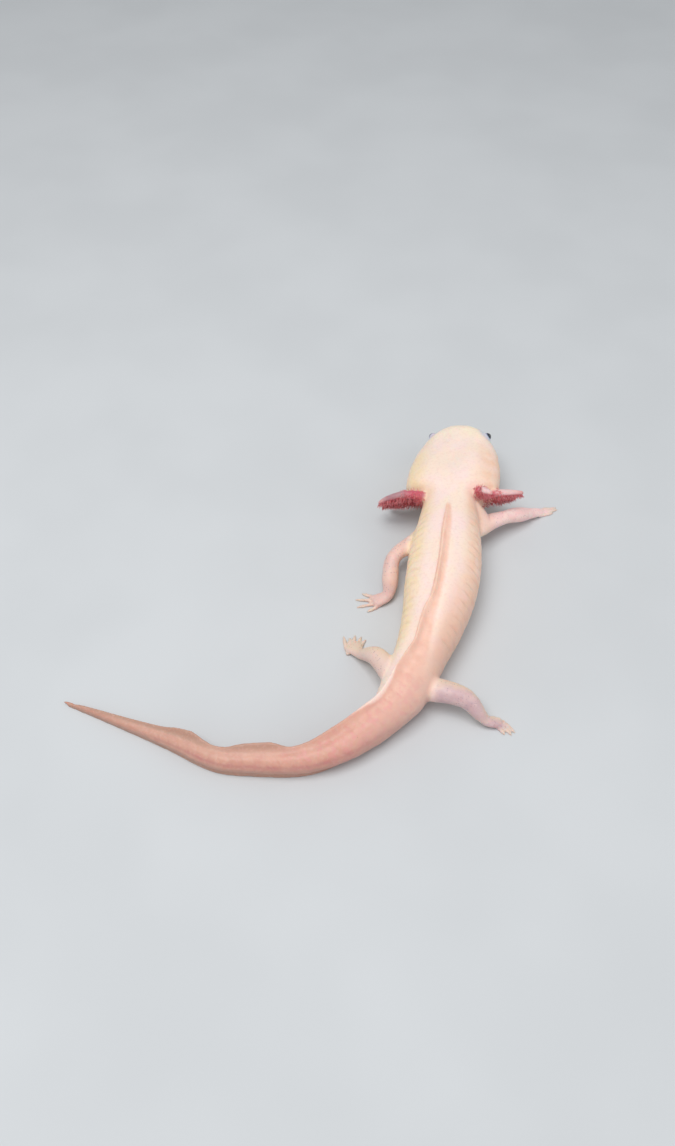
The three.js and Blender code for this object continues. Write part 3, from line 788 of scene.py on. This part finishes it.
points = points_of(skin_mesh)
lie = Lie(points)
move = head_relief(lie) + eye_relief(points) + body_relief(lie, points) + limb_relief(lie)
move += (0.16 * wander(points, 9, 1) + 0.07 * wander(points, 3.2, 2)) * (1 - lie.on_fin)
points = on_floor(points + normals_of(skin_mesh) * move[:, None])
points = relax(points, edges, 0.35)
set_points(skin_mesh, on_floor(points))
print("relief from", round(float(move.min()), 2), "to", round(float(move.max()), 2), "mm")

# %% [markdown]
# ## Fewer faces where the skin is plain
# The fine grid is only needed at lips, eyes and toes. The decimate modifier collapses edges
# where that changes the shape least, so the faces go where the detail is.

# %% Thin out
SKIN_TRIANGLES = 186000
skin = bpy.data.objects.new("skin", skin_mesh)
bpy.context.scene.collection.objects.link(skin)
triangles = 2 * len(skin_mesh.polygons)
thin = skin.modifiers.new("thin_out", "DECIMATE")
thin.ratio = min(1, SKIN_TRIANGLES / triangles)
skin.data = applied(skin)
skin.modifiers.clear()
skin.data.polygons.foreach_set("use_smooth", np.ones(len(skin.data.polygons), bool))
skin.data.name = "skin"
print("skin:", len(skin.data.polygons), "faces")

# %% [markdown]
# ## Marks for the paint
# The finish needs to know where the salmon stripe, the lilac legs or the red gills are. Each
# is a number from 0 to 1 at every point, kept as an attribute that the material reads.

# %% Masks of the body
def keep(mesh, name, values):
    """Stores one number for each point."""
    layer = mesh.attributes.new(name, "FLOAT", "POINT")
    layer.data.foreach_set("value", np.clip(values, 0, 1).astype(np.float32))


def between(place, rise_from, rise_to, fall_from, fall_to):
    """1 over a length of the animal, with a soft rise at one end and a soft fall at the other."""
    return step(place, rise_from, rise_to) * step(-place, -fall_to, -fall_from)


points = points_of(skin.data)
lie = Lie(points)
facing = normals_of(skin.data)
s = lie.place
bare = (1 - lie.on_limb) * (1 - lie.on_gill)

# The salmon stripe spreads from the fin's line over the whole tail.
_, height, lean = fin_line(s, 1)
edge = np.sin(lean) * height
spread = profile([
    (46, 0.6), (56, 1.1), (92, 1.3), (98, 2), (106, 3.6), (116, 6), (126, 9), (140, 14)])(s)
soft = profile([(44, 0.9), (80, 1.3), (92, 1.5), (106, 2.4), (126, 4)])(s)
stripe = step(lie.left, -spread - soft, -spread + soft) * step(-lie.left, -edge - 0.75, -edge - 0.3)
stripe = stripe * step(lie.up, 0, 2) * step(s, 44.5, 49)
tail = step(s, 112, 134) * np.maximum(step(lie.rise, -1.35, -0.8), step(s, 134, 150))
rim = profile([(109, 0), (115, 0.5), (121, 1.2), (128, 1.3), (133, 0.8), (138, 0.3), (142, 0)])(s)
pale_rim = 0.65 * step(lie.left, edge - rim - 0.7, edge - rim + 0.5) * between(s, 109, 112, 130, 166)

masks = {
    "snout": step(-s, -17, -5) * bare,
    "under": step(-lie.rise, -0.2, 0.75) * bare,
    "flank": step(np.abs(lie.side), 0.4, 0.8) * between(s, 6, 24, 96, 122) * bare,
    "left_side": step(lie.left, -2, 3),
    # painted shade: the costal grooves are darkened where shade falls in them
    "groove": grooves(lie, points) * bare,
    # partly pinker skin, partly painted shade: the right side of the hip is darkened where it turns from
    # the light
    "right_hip": step(-lie.left, 1.5, 6) * between(s, 66, 100, 118, 132) * bare,
    "salmon": np.maximum(stripe, tail) * bare * (1 - pale_rim),
    "tail": step(s, 86, 150),
    "tail_far": step(s, 124, 226) * (0.5 + 0.5 * lie.on_fin),
    "wash": step(-lie.left, 0.5, 5) * between(s, 108, 124, 130, 152) * bare,
    # painted shade: the lower right side of the tail is darkened, as it turns away from the light above
    "dusky": step(-lie.rise, -0.35, 0.45) * step(-lie.left, 0.5, 4)
    * between(s, 98, 116, 160, 196) * bare,
    "flush": bell(lie.rise - 0.12, 0.28) * step(np.abs(lie.side), 0, 0.5)
    * between(s, 124, 148, 185, 225) * bare,
    "blotch": step(-lie.left, -3, 1.5) * between(s, 112, 124, 148, 172) * bare,
    # painted shade: the tail's skin low down by the floor is darkened
    "keel": step(-points[:, 2], -4.5, -0.8) * step(s, 120, 144) * bare,
    "fin_edge": lie.on_fin * step(s, 120, 165) * step(lie.reach, 1.2, 1.7)}
print("masks of the body:", len(masks))

# %% Masks of the head, legs and gills
lilac = lie.on_limb * np.maximum(step(lie.limb_along, 0.03, 0.16), step(-lie.digit_gap, -1.9, -1.3))
eye_gap = np.min([np.linalg.norm(points - centre, axis=1) for centre, _ in eyes], axis=0)
root_gap = nearest(points, np.array([path[0] for path in gill_paths]))[1]
web_gap = nearest(points, web_path)[1]
masks.update({
    "lilac": lilac,
    "arm": lilac * (lie.limb < 2),
    # painted shadow: the left arm is greyed and darkened as if a leaf shades it
    "left_arm": lilac * (lie.limb == 0),
    "left_leg": lilac * (lie.limb == 2),
    # painted highlight: skin of the legs that faces ahead is lightened to cream
    "leg_front": lilac * (lie.limb > 1) * step(-facing[:, 1], -0.25, 0.5),
    "toes": lie.on_limb * step(-lie.digit_gap, -1.7, -1.2) * step(lie.digit_along, 0.25, 0.8),
    "web": step(-web_gap, -6.5, -3.5) * step(-s, -62, -54) * (1 - lie.on_gill),
    "rosy": bell(root_gap, 4.2) * bare,
    "stalk": lie.on_gill,
    "stalk_tip": lie.gill_along,
    "red": lie.on_gill * np.maximum(
        step(-facing[:, 2], -0.55, 0.35), step(-lie.gill_along, -0.5, -0.3)),
    # painted shade: the groove where the lips meet is darkened, as shade falls in it
    "crease": np.clip(bell(mouth_offset(lie), 0.4) * step(-s, -16.4, -14.6), 0, 1) * bare,
    # painted sheen: the skin round and above each eye is tinted bluish white
    "eye_ring": step(-eye_gap, -4.8, -2.2) * step(lie.up, 0.4, 2.2)})
for name, values in masks.items():
    keep(skin.data, name, values)
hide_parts(*[n for n in frame["nodes"] if not n.startswith(("eye_", "gill_fringe"))])
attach(skin, "root")
print("masks in all:", len(masks))

# %% [markdown]
# ## Shader sums
# A material is a tree of nodes. To keep it readable, a wire stands for a node's output, and
# the usual operators on wires add Math nodes. One method, `add`, makes every other node.

# %% Wires
class Wire:
    """A node's output, so that shader maths reads as sums."""

    def __init__(self, tree, socket=None):
        self.tree, self.socket = tree, socket

    def add(self, kind, settings=None, inputs=None, out=0):
        """A new node: its type, its settings, the values or wires of its inputs, its output."""
        node = self.tree.nodes.new(kind)
        for key, value in (settings or {}).items():
            if key == "stops":
                self._set_stops(node.color_ramp.elements, value)
            else:
                setattr(node, key, value)
        for key, value in (inputs or {}).items():
            if isinstance(value, Wire):
                self.tree.links.new(value.socket, node.inputs[key])
            else:
                node.inputs[key].default_value = value
        return Wire(self.tree, node.outputs[out])

    @staticmethod
    def _set_stops(elements, stops):
        while len(elements) < len(stops):
            elements.new(1)
        for element, (place, colour) in zip(elements, stops):
            element.position, element.color = place, colour

    def _math(self, operation, a, b):
        return self.add("ShaderNodeMath", {"operation": operation}, {0: a, 1: b})

    def __add__(self, other):
        return self._math("ADD", self, other)

    def __sub__(self, other):
        return self._math("SUBTRACT", self, other)

    def __rsub__(self, other):
        return self._math("SUBTRACT", other, self)

    def __mul__(self, other):
        return self._math("MULTIPLY", self, other)

    __radd__, __rmul__ = __add__, __mul__

    def ramp(self, low, high):
        """0 below low and 1 above high, smooth between."""
        return self.add("ShaderNodeMapRange", {"interpolation_type": "SMOOTHSTEP"},
                        {"Value": self, "From Min": low, "From Max": high})

    def mix(self, a, b):
        """Colour a where this wire is 0, colour b where it is 1."""
        return self.add("ShaderNodeMix", {"data_type": "RGBA"}, {0: self, 6: a, 7: b}, out=2)

    def mask(self, name):
        """The number stored in the mesh under this name."""
        return self.add("ShaderNodeAttribute", {"attribute_name": name}, out=2)

    def noise(self, where, size, detail=2.0):
        """Clouds of the given size in metres, between 0 and 1."""
        return self.add("ShaderNodeTexNoise", {}, {"Vector": where, "Scale": 1 / size, "Detail": detail})


def shade(red, green, blue):
    """A colour from the usual 0 to 255 values, made linear."""
    value = np.array([red, green, blue]) / 255
    value = np.where(value > 0.04045, ((value + 0.055) / 1.055) ** 2.4, value / 12.92)
    return (*value.tolist(), 1.0)


def new_material(name, **sockets):
    """A material with one Principled shader; sockets give its constant values."""
    material = bpy.data.materials.new(name)
    material.use_nodes = True
    tree = material.node_tree
    shader = tree.nodes["Principled BSDF"]
    for key, value in sockets.items():
        shader.inputs[key.replace("_", " ")].default_value = value
    return material, Wire(tree), shader


print("white is", [round(c, 2) for c in shade(255, 255, 255)])

# %% [markdown]
# ## Skin finish
# Leucistic skin has almost no pigment, so blood and fat show through: cream on the head,
# yellowish on the flanks, salmon along the fin and tail, lilac on the legs. Light enters it
# a little, which the subsurface setting gives. Clouds of three sizes keep each colour from
# being even. Each colour is laid over the last through its mask, first on the body, then on
# the legs, then on the gills and the face.

# %% Colours of the back, flanks and tail
skin_material, paint, skin_shader = new_material(
    "axolotl_skin", Subsurface_Weight=0.35, Subsurface_Scale=0.0022, Specular_IOR_Level=0.42)
skin_shader.inputs["Subsurface Radius"].default_value = (1.0, 0.42, 0.28)
where = paint.add("ShaderNodeTexCoord", out=3)
broad = paint.noise(where, 0.011)
middle = paint.noise(where, 0.0034)
grain = paint.noise(where, 0.0009, 3.0)
colour = broad.ramp(0.4, 0.6).mix(shade(254, 226, 217), shade(254, 228, 210))
side_tone = paint.mask("left_side").mix(shade(250, 208, 180), shade(254, 226, 182))
colour = (paint.mask("snout") * 0.55).mix(colour, shade(254, 236, 206))
colour = (paint.mask("flank") * (0.5 + 0.5 * middle.ramp(0.3, 0.7))).mix(colour, side_tone)
colour = (paint.mask("under") * 0.4).mix(colour, shade(244, 218, 206))
# pinker tone with painted shade on the right side of the hip
colour = (paint.mask("right_hip") * 0.75).mix(colour, shade(232, 188, 168))
salmon_mask = (paint.mask("salmon") + 0.16 * (middle - 0.5)).ramp(0.1, 0.9)
salmon_tone = middle.ramp(0.35, 0.7).mix(shade(249, 208, 188), shade(244, 199, 177))
tail_tone = middle.ramp(0.35, 0.7).mix(shade(222, 169, 149), shade(216, 158, 142))
tail_tone = paint.mask("tail_far").mix(tail_tone, shade(190, 155, 136))
salmon_tone = paint.mask("tail").mix(salmon_tone, tail_tone)
blotches = paint.mask("blotch") * paint.noise(where, 0.0017, 3.0).ramp(0.46, 0.66)
salmon_tone = (blotches * 0.5).mix(salmon_tone, shade(232, 158, 156))
colour = salmon_mask.mix(colour, salmon_tone)
colour = (paint.mask("wash") * (0.2 + 0.3 * middle.ramp(0.3, 0.7))).mix(colour, shade(232, 190, 178))
# painted shade on the tail's lower right side
colour = (paint.mask("dusky") * 0.4).mix(colour, shade(184, 136, 124))
colour = (paint.mask("flush") * (0.25 + 0.4 * middle.ramp(0.3, 0.7))).mix(colour, shade(206, 132, 128))
# painted shade in the costal grooves
colour = (paint.mask("groove") * 0.28).mix(colour, shade(226, 184, 160))
colour = (paint.mask("rosy") * 0.5).mix(colour, shade(240, 204, 206))
print("nodes so far:", len(paint.tree.nodes))

# %% Colours of the legs and arms
lilac_tone = middle.ramp(0.3, 0.7).mix(shade(221, 191, 189), shade(206, 174, 178))
arm_tone = paint.noise(where, 0.0022).ramp(0.4, 0.6).mix(shade(255, 221, 214), shade(252, 209, 205))
lilac_tone = (broad.ramp(0.46, 0.6) * 0.5).mix(lilac_tone, shade(228, 204, 184))
lilac_tone = paint.mask("left_leg").mix(lilac_tone, shade(230, 203, 191))
lilac_tone = paint.mask("arm").mix(lilac_tone, arm_tone)
lilac_tone = (paint.mask("arm") * broad.ramp(0.5, 0.6) * 0.5).mix(lilac_tone, shade(226, 190, 204))
# painted shadow on the left arm
lilac_tone = (paint.mask("left_arm") * 0.5).mix(lilac_tone, shade(216, 184, 160))
# painted highlight on the legs' forward faces
lilac_tone = (paint.mask("leg_front") * 0.8).mix(lilac_tone, shade(232, 208, 182))
colour = (paint.mask("web") * 0.55).mix(colour, shade(236, 196, 172))
colour = (paint.mask("lilac") * (1 - 0.5 * paint.mask("web"))).mix(colour, lilac_tone)
colour = (paint.mask("toes") * 0.8).mix(colour, shade(228, 202, 186))
print("nodes so far:", len(paint.tree.nodes))

# %% Colours of the gills, fin edge, eye rims and mouth
outer_tone = paint.mask("left_side").mix(shade(246, 204, 202), shade(180, 134, 140))
stalk_tone = paint.mask("stalk_tip").ramp(0.25, 0.55).mix(shade(206, 100, 120), outer_tone)
greyness = middle.ramp(0.48, 0.6) * (0.25 + 0.45 * paint.mask("left_side"))
stalk_tone = greyness.mix(stalk_tone, shade(186, 166, 164))
stalk_tone = paint.mask("stalk_tip").ramp(0.75, 0.95).mix(stalk_tone, shade(226, 170, 168))
colour = paint.mask("stalk").mix(colour, stalk_tone)
colour = (paint.mask("red") * 0.8).mix(colour, shade(204, 92, 108))
colour = (paint.mask("fin_edge") * 0.7).mix(colour, shade(178, 140, 122))
# painted shade where the tail lies low by the floor
colour = (paint.mask("keel") * 0.5).mix(colour, shade(178, 136, 120))
# painted sheen round the eyes
sheen_tone = middle.ramp(0.35, 0.65).mix(shade(182, 202, 222), shade(208, 198, 222))
colour = (paint.mask("eye_ring") * 0.72).mix(colour, sheen_tone)
# painted shade along the line of the mouth
colour = (paint.mask("crease") * 0.7).mix(colour, shade(200, 138, 126))
print("nodes so far:", len(paint.tree.nodes))

# %% [markdown]
# Fine dark speckles lie mostly on the legs, and a few larger flecks anywhere. Both are the
# middles of cells, which a cell texture gives as small distances. Tiny bumps break up the gloss.

# %% Speckles, bumps and gloss
SPECKLE_PITCH, FLECK_PITCH = 0.0008, 0.0042
colour = (grain.ramp(0.48, 0.7) * 0.2).mix(colour, shade(226, 188, 176))
cells = paint.add("ShaderNodeTexVoronoi", {}, {"Vector": where, "Scale": 1 / SPECKLE_PITCH})
speckle = (0.3 - cells).ramp(0, 0.14) * paint.noise(where, 0.0026).ramp(0.4, 0.58)
colour = (speckle * paint.mask("lilac") * 0.5).mix(colour, shade(150, 110, 132))
far_cells = paint.add("ShaderNodeTexVoronoi", {}, {"Vector": where, "Scale": 1 / FLECK_PITCH})
fleck = (0.04 - far_cells).ramp(0, 0.03) * 0.6
colour = fleck.mix(colour, shade(140, 112, 104))
bump = paint.add("ShaderNodeBump", {}, {
    "Height": grain * 0.6 + paint.noise(where, 0.00035) * 0.4, "Strength": 0.35, "Distance": 0.0002})
paint.tree.links.new(colour.socket, skin_shader.inputs["Base Color"])
paint.tree.links.new((0.36 + 0.16 * grain).socket, skin_shader.inputs["Roughness"])
paint.tree.links.new(bump.socket, skin_shader.inputs["Normal"])
skin.data.materials.append(skin_material)
print("skin nodes:", len(paint.tree.nodes))

# %% [markdown]
# ## Eyes
# An axolotl has no lids. Its eye is a small dark ball with a slightly bulging cornea and a
# thin shining ring round the pupil, and its edge fades through bluish grey into the skin. A
# ball is a grid of (angle from the way it looks, turn), with its radius swollen near the
# front. The angle is stored, and the material colours by it.

# %% Eyeballs
def eyeball(centre, look, rings=40, sides=48):
    """Radius = R * (1 + 0.07 bell(angle)), turned so that angle 0 is the way it looks."""
    angle = np.linspace(0.015, np.pi - 0.02, rings)[:, None, None]
    turn = (2 * np.pi * np.arange(sides) / sides)[None, :, None]
    side = np.cross(look, [0, 0, 1])
    side /= np.linalg.norm(side)
    over = np.cross(side, look)
    radius = EYE_RADIUS * (1 + 0.07 * bell(angle, 0.5))
    ring = np.cos(turn) * side + np.sin(turn) * over
    return centre + radius * (np.cos(angle) * look + np.sin(angle) * ring)


eye_material, paint, eye_shader = new_material(
    "wet_eye", Roughness=0.06, Coat_Weight=0.6, Coat_Roughness=0.03, Specular_IOR_Level=0.5)
angle = paint.mask("angle") * math.pi
where = paint.add("ShaderNodeTexCoord", out=3)
flecks = paint.noise(where, 0.00022, 3.0)
iris = flecks.ramp(0.35, 0.7).mix(shade(14, 15, 24), shade(44, 50, 70))
# From the middle outwards: the pupil, its shining ring, the iris, a bluish rim and a pale edge.
colour = (angle + 0.06 * flecks).ramp(0.42, 0.46).mix(shade(3, 3, 5), shade(134, 134, 122))
colour = (angle + 0.1 * flecks).ramp(0.53, 0.58).mix(colour, iris)
colour = (angle + 0.16 * flecks).ramp(0.98, 1.16).mix(colour, shade(150, 158, 184))
colour = (angle + 0.2 * flecks).ramp(1.16, 1.4).mix(colour, shade(210, 200, 212))
paint.tree.links.new(colour.socket, eye_shader.inputs["Base Color"])
for (centre, look), name in zip(eyes, ("left", "right")):
    ball = mesh_object(f"eyeball_{name}", *tube(eyeball(centre, look)))
    away = points_of(ball.data) - centre
    cosine = (away @ look) / np.linalg.norm(away, axis=1)
    keep(ball.data, "angle", np.arccos(np.clip(cosine, -1, 1)) / np.pi)
    ball.data.materials.append(eye_material)
    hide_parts(f"eye_{name}")
    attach(ball, "root")
print("eyeballs:", len(eyes), "of radius", EYE_RADIUS, "mm")

# %% [markdown]
# ## Gill filaments
# Each stalk carries soft filaments full of blood: all round it near the root, and in rows on
# its hind and under side further out. A filament is a thin tapering tube whose line starts
# outwards and droops towards the tip. All filaments of a stalk are worked out as one array
# (filament, along, around), and as equal tubes they share one list of faces.

# %% Filament shapes
FILAMENTS, FILAMENT_SIDES, FILAMENT_RINGS, FILAMENT_RADIUS = 400, 5, 7, 0.16
HANG = np.array([0, 0.5, -0.87])
FILAMENT_LENGTH = profile([(0, 1.1), (0.2, 1.5), (0.45, 1.6), (0.75, 1.35), (1, 0.9)])


def filament_rings(path, rng):
    """Rings shaped (filament, along, around, 3), each root's share of the stalk, and its fan.

    A filament's line is root + t * L * (out + bend * t), with bend pointing to the stalk's
    tip and down, and its radius shrinks as 1 - 0.72 t. The fan is the turn from straight
    down; it opens right round the stalk near the root and narrows to the underside outwards.
    """
    u = np.sort(rng.uniform(0.04, 0.99, FILAMENTS))
    slope, even = np.gradient(path, axis=0), np.linspace(0, 1, len(path))
    spot = np.stack([np.interp(u, even, path[:, axis]) for axis in range(3)], -1)
    tangent = np.stack([np.interp(u, even, slope[:, axis]) for axis in range(3)], -1)
    tangent /= np.linalg.norm(tangent, axis=1, keepdims=True)
    down = HANG - (tangent @ HANG)[:, None] * tangent
    down /= np.linalg.norm(down, axis=1, keepdims=True)
    face = np.cross(tangent, down)
    widest = 175 - 122 * step(u, 0.4, 0.62)
    fan = (rng.uniform(-1, 1, FILAMENTS) * np.radians(widest))[:, None]
    out = np.cos(fan) * down + np.sin(fan) * face
    root = spot + out * (STALK_RADIUS(u) * 0.8)[:, None]
    upper = step(np.abs(fan[:, 0]), 0.9, 2)
    length = FILAMENT_LENGTH(u) * rng.uniform(0.6, 1.15, FILAMENTS) * (1 - 0.2 * upper)
    length = length[:, None, None]
    t = np.linspace(0, 1, FILAMENT_RINGS)[None, :, None]
    bend = (0.45 * tangent + 0.3 * HANG + rng.normal(0, 0.16, (FILAMENTS, 3)))[:, None]
    line = root[:, None] + length * t * (out[:, None] + bend * t)
    line[..., 2] = np.maximum(line[..., 2], 0.3)
    across = np.cross(out, tangent)[:, None]
    over = np.cross(np.gradient(line, axis=1), across)
    over /= np.linalg.norm(over, axis=2, keepdims=True)
    turn = (2 * np.pi * np.arange(FILAMENT_SIDES) / FILAMENT_SIDES)[:, None]
    radius = (FILAMENT_RADIUS * (1 - 0.72 * t))[..., None]
    ring = np.cos(turn) * across[:, :, None] + np.sin(turn) * over[:, :, None]
    return line[:, :, None] + radius * ring, u, upper


def equal_tubes(rings):
    """Points and triangles of many closed tubes over rings shaped (count, n, m, 3).

    The faces are those of the first tube, moved on by the number of points in a tube.
    """
    count, (_, faces) = len(rings), tube(rings[0])
    ends = rings[:, [0, -1]].mean(2)
    points = np.concatenate([rings.reshape(count, -1, 3), ends], 1)
    moved = faces[None] + (points.shape[1] * np.arange(count))[:, None, None]
    return points.reshape(-1, 3), moved.reshape(-1, 3)


print("triangles in a filament:", 2 * FILAMENT_SIDES * FILAMENT_RINGS)


# %% Filaments of both sides
def filament_mesh(name, paths):
    """All filaments of one side as one mesh, with a small patch of the bake map for each."""
    rng = np.random.default_rng(11)
    size = FILAMENT_RINGS * FILAMENT_SIDES + 2
    along = np.concatenate([np.repeat(np.linspace(0, 1, FILAMENT_RINGS), FILAMENT_SIDES), [0, 1]])
    patch = np.tile(np.linspace(0, 0.003, size), FILAMENTS)
    forms, maps, tones = [], [], []
    for row, path in enumerate(paths):
        rings, u, upper = filament_rings(path, rng)
        forms.append(equal_tubes(rings))
        # partly each filament's own blood tone at random, partly painted light: upward filaments are
        # lighter
        tones.append(np.repeat(0.05 + 0.35 * upper + rng.uniform(0, 0.6, FILAMENTS), size))
        up_map = row + 0.1 + 0.8 * np.repeat(rng.uniform(0, 1, FILAMENTS), size)
        across_map = np.repeat(0.02 + 0.95 * u, size) + patch
        maps.append(np.stack([across_map, up_map / len(paths) * 0.95], -1))
    obj = mesh_object(name, *join(forms))
    keep(obj.data, "tip", np.tile(along, FILAMENTS * len(paths)))
    keep(obj.data, "tone", np.concatenate(tones))
    layer = obj.data.uv_layers.new(name="OFBake")
    corner = np.empty(len(obj.data.loops), int)
    obj.data.loops.foreach_get("vertex_index", corner)
    layer.data.foreach_set("uv", np.concatenate(maps)[corner].ravel())
    return obj


gill_material, paint, gill_shader = new_material(
    "gill_filament", Roughness=0.35, Subsurface_Weight=0.3, Subsurface_Scale=0.0008,
    Specular_IOR_Level=0.45)
gill_shader.inputs["Subsurface Radius"].default_value = (1.0, 0.3, 0.25)
where = paint.add("ShaderNodeTexCoord", out=3)
# dark red to pale pink: the spread of blood tones, with painted shade at the dark end and painted light at
# the pale end
colour = paint.mask("tone").mix(shade(156, 46, 56), shade(255, 168, 168))
colour = (paint.noise(where, 0.0021).ramp(0.35, 0.65) * 0.35).mix(colour, shade(226, 98, 112))
colour = (paint.mask("tip").ramp(0.45, 1) * 0.4).mix(colour, shade(226, 140, 146))
paint.tree.links.new(colour.socket, gill_shader.inputs["Base Color"])
for side, name in ((1, "left"), (-1, "right")):
    paths = [path for gill, path in zip(GILLS, gill_paths) if gill[0] == side]
    fringe = filament_mesh(f"gill_filaments_{name}", paths)
    fringe.data.materials.append(gill_material)
    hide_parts(*[f"gill_fringe_{name}_{k}" for k in (1, 2, 3)])
    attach(fringe, "root")
    print(fringe.name, len(fringe.data.polygons), "triangles")

# %% [markdown]
# ## Floor, light and camera
# The floor is plain and pale. A large soft lamp above and a weak one from the side give form
# without hard shadows, at a level where a colour renders about as it is written. The camera
# looks down on the animal from behind, head away, as a visitor would see it in its tank.

# %% Stage
FLOOR_HALF = 3.0
corners = np.array([[-1, -1, 0], [1, -1, 0], [1, 1, 0], [-1, 1, 0]], float) * FLOOR_HALF / MM
floor = mesh_object("floor", corners, np.array([[0, 1, 2, 3]]))
floor_material, paint, floor_shader = new_material(
    "pale_floor", Roughness=0.8, Specular_IOR_Level=0.2)
where = paint.add("ShaderNodeTexCoord", out=3)
tone = paint.noise(where, 0.06).ramp(0.3, 0.7).mix(shade(204, 207, 209), shade(208, 211, 213))
paint.tree.links.new(tone.socket, floor_shader.inputs["Base Color"])
floor.data.materials.append(floor_material)

world = bpy.data.worlds.new("soft_room")
bpy.context.scene.world = world
world.use_nodes = True
background = world.node_tree.nodes["Background"]
background.inputs["Color"].default_value = (0.95, 0.97, 1.0, 1)
background.inputs["Strength"].default_value = 0.45
print("floor:", 2 * FLOOR_HALF, "m square")

# %% Lamps
ABOVE_BACK = (0, -0.04, 0)


def soft_lamp(name, place, target, size, power):
    """A square lamp at a place, turned to a target, in metres and watts."""
    lamp = bpy.data.lights.new(name, "AREA")
    lamp.size, lamp.energy = size, power
    obj = bpy.data.objects.new(name, lamp)
    bpy.context.scene.collection.objects.link(obj)
    away = np.array(place) - np.array(target)
    flat = math.hypot(away[0], away[1])
    obj.location = place
    obj.rotation_euler = (math.atan2(flat, away[2]), 0, math.atan2(away[0], -away[1]))


soft_lamp("key", (0.18, 0.1, 0.8), ABOVE_BACK, 0.5, 4.5)
soft_lamp("fill", (-0.6, 0.2, 0.5), ABOVE_BACK, 0.6, 0.8)

# %% Camera
SENSOR, LENS, LOOK_DOWN = 36, 29.843, 52
camera = bpy.data.cameras.new("camera")
camera.sensor_width, camera.lens = SENSOR, LENS
camera.clip_start, camera.clip_end = 0.01, 20
eye_point = bpy.data.objects.new("camera", camera)
bpy.context.scene.collection.objects.link(eye_point)
eye_point.location = (0.0203, 0.1541, 0.2676)
eye_point.rotation_euler = (math.radians(90 - LOOK_DOWN), 0, math.pi)
bpy.context.scene.camera = eye_point
bpy.context.scene.view_settings.view_transform = "Standard"
print("lens:", round(camera.lens, 2), "mm")
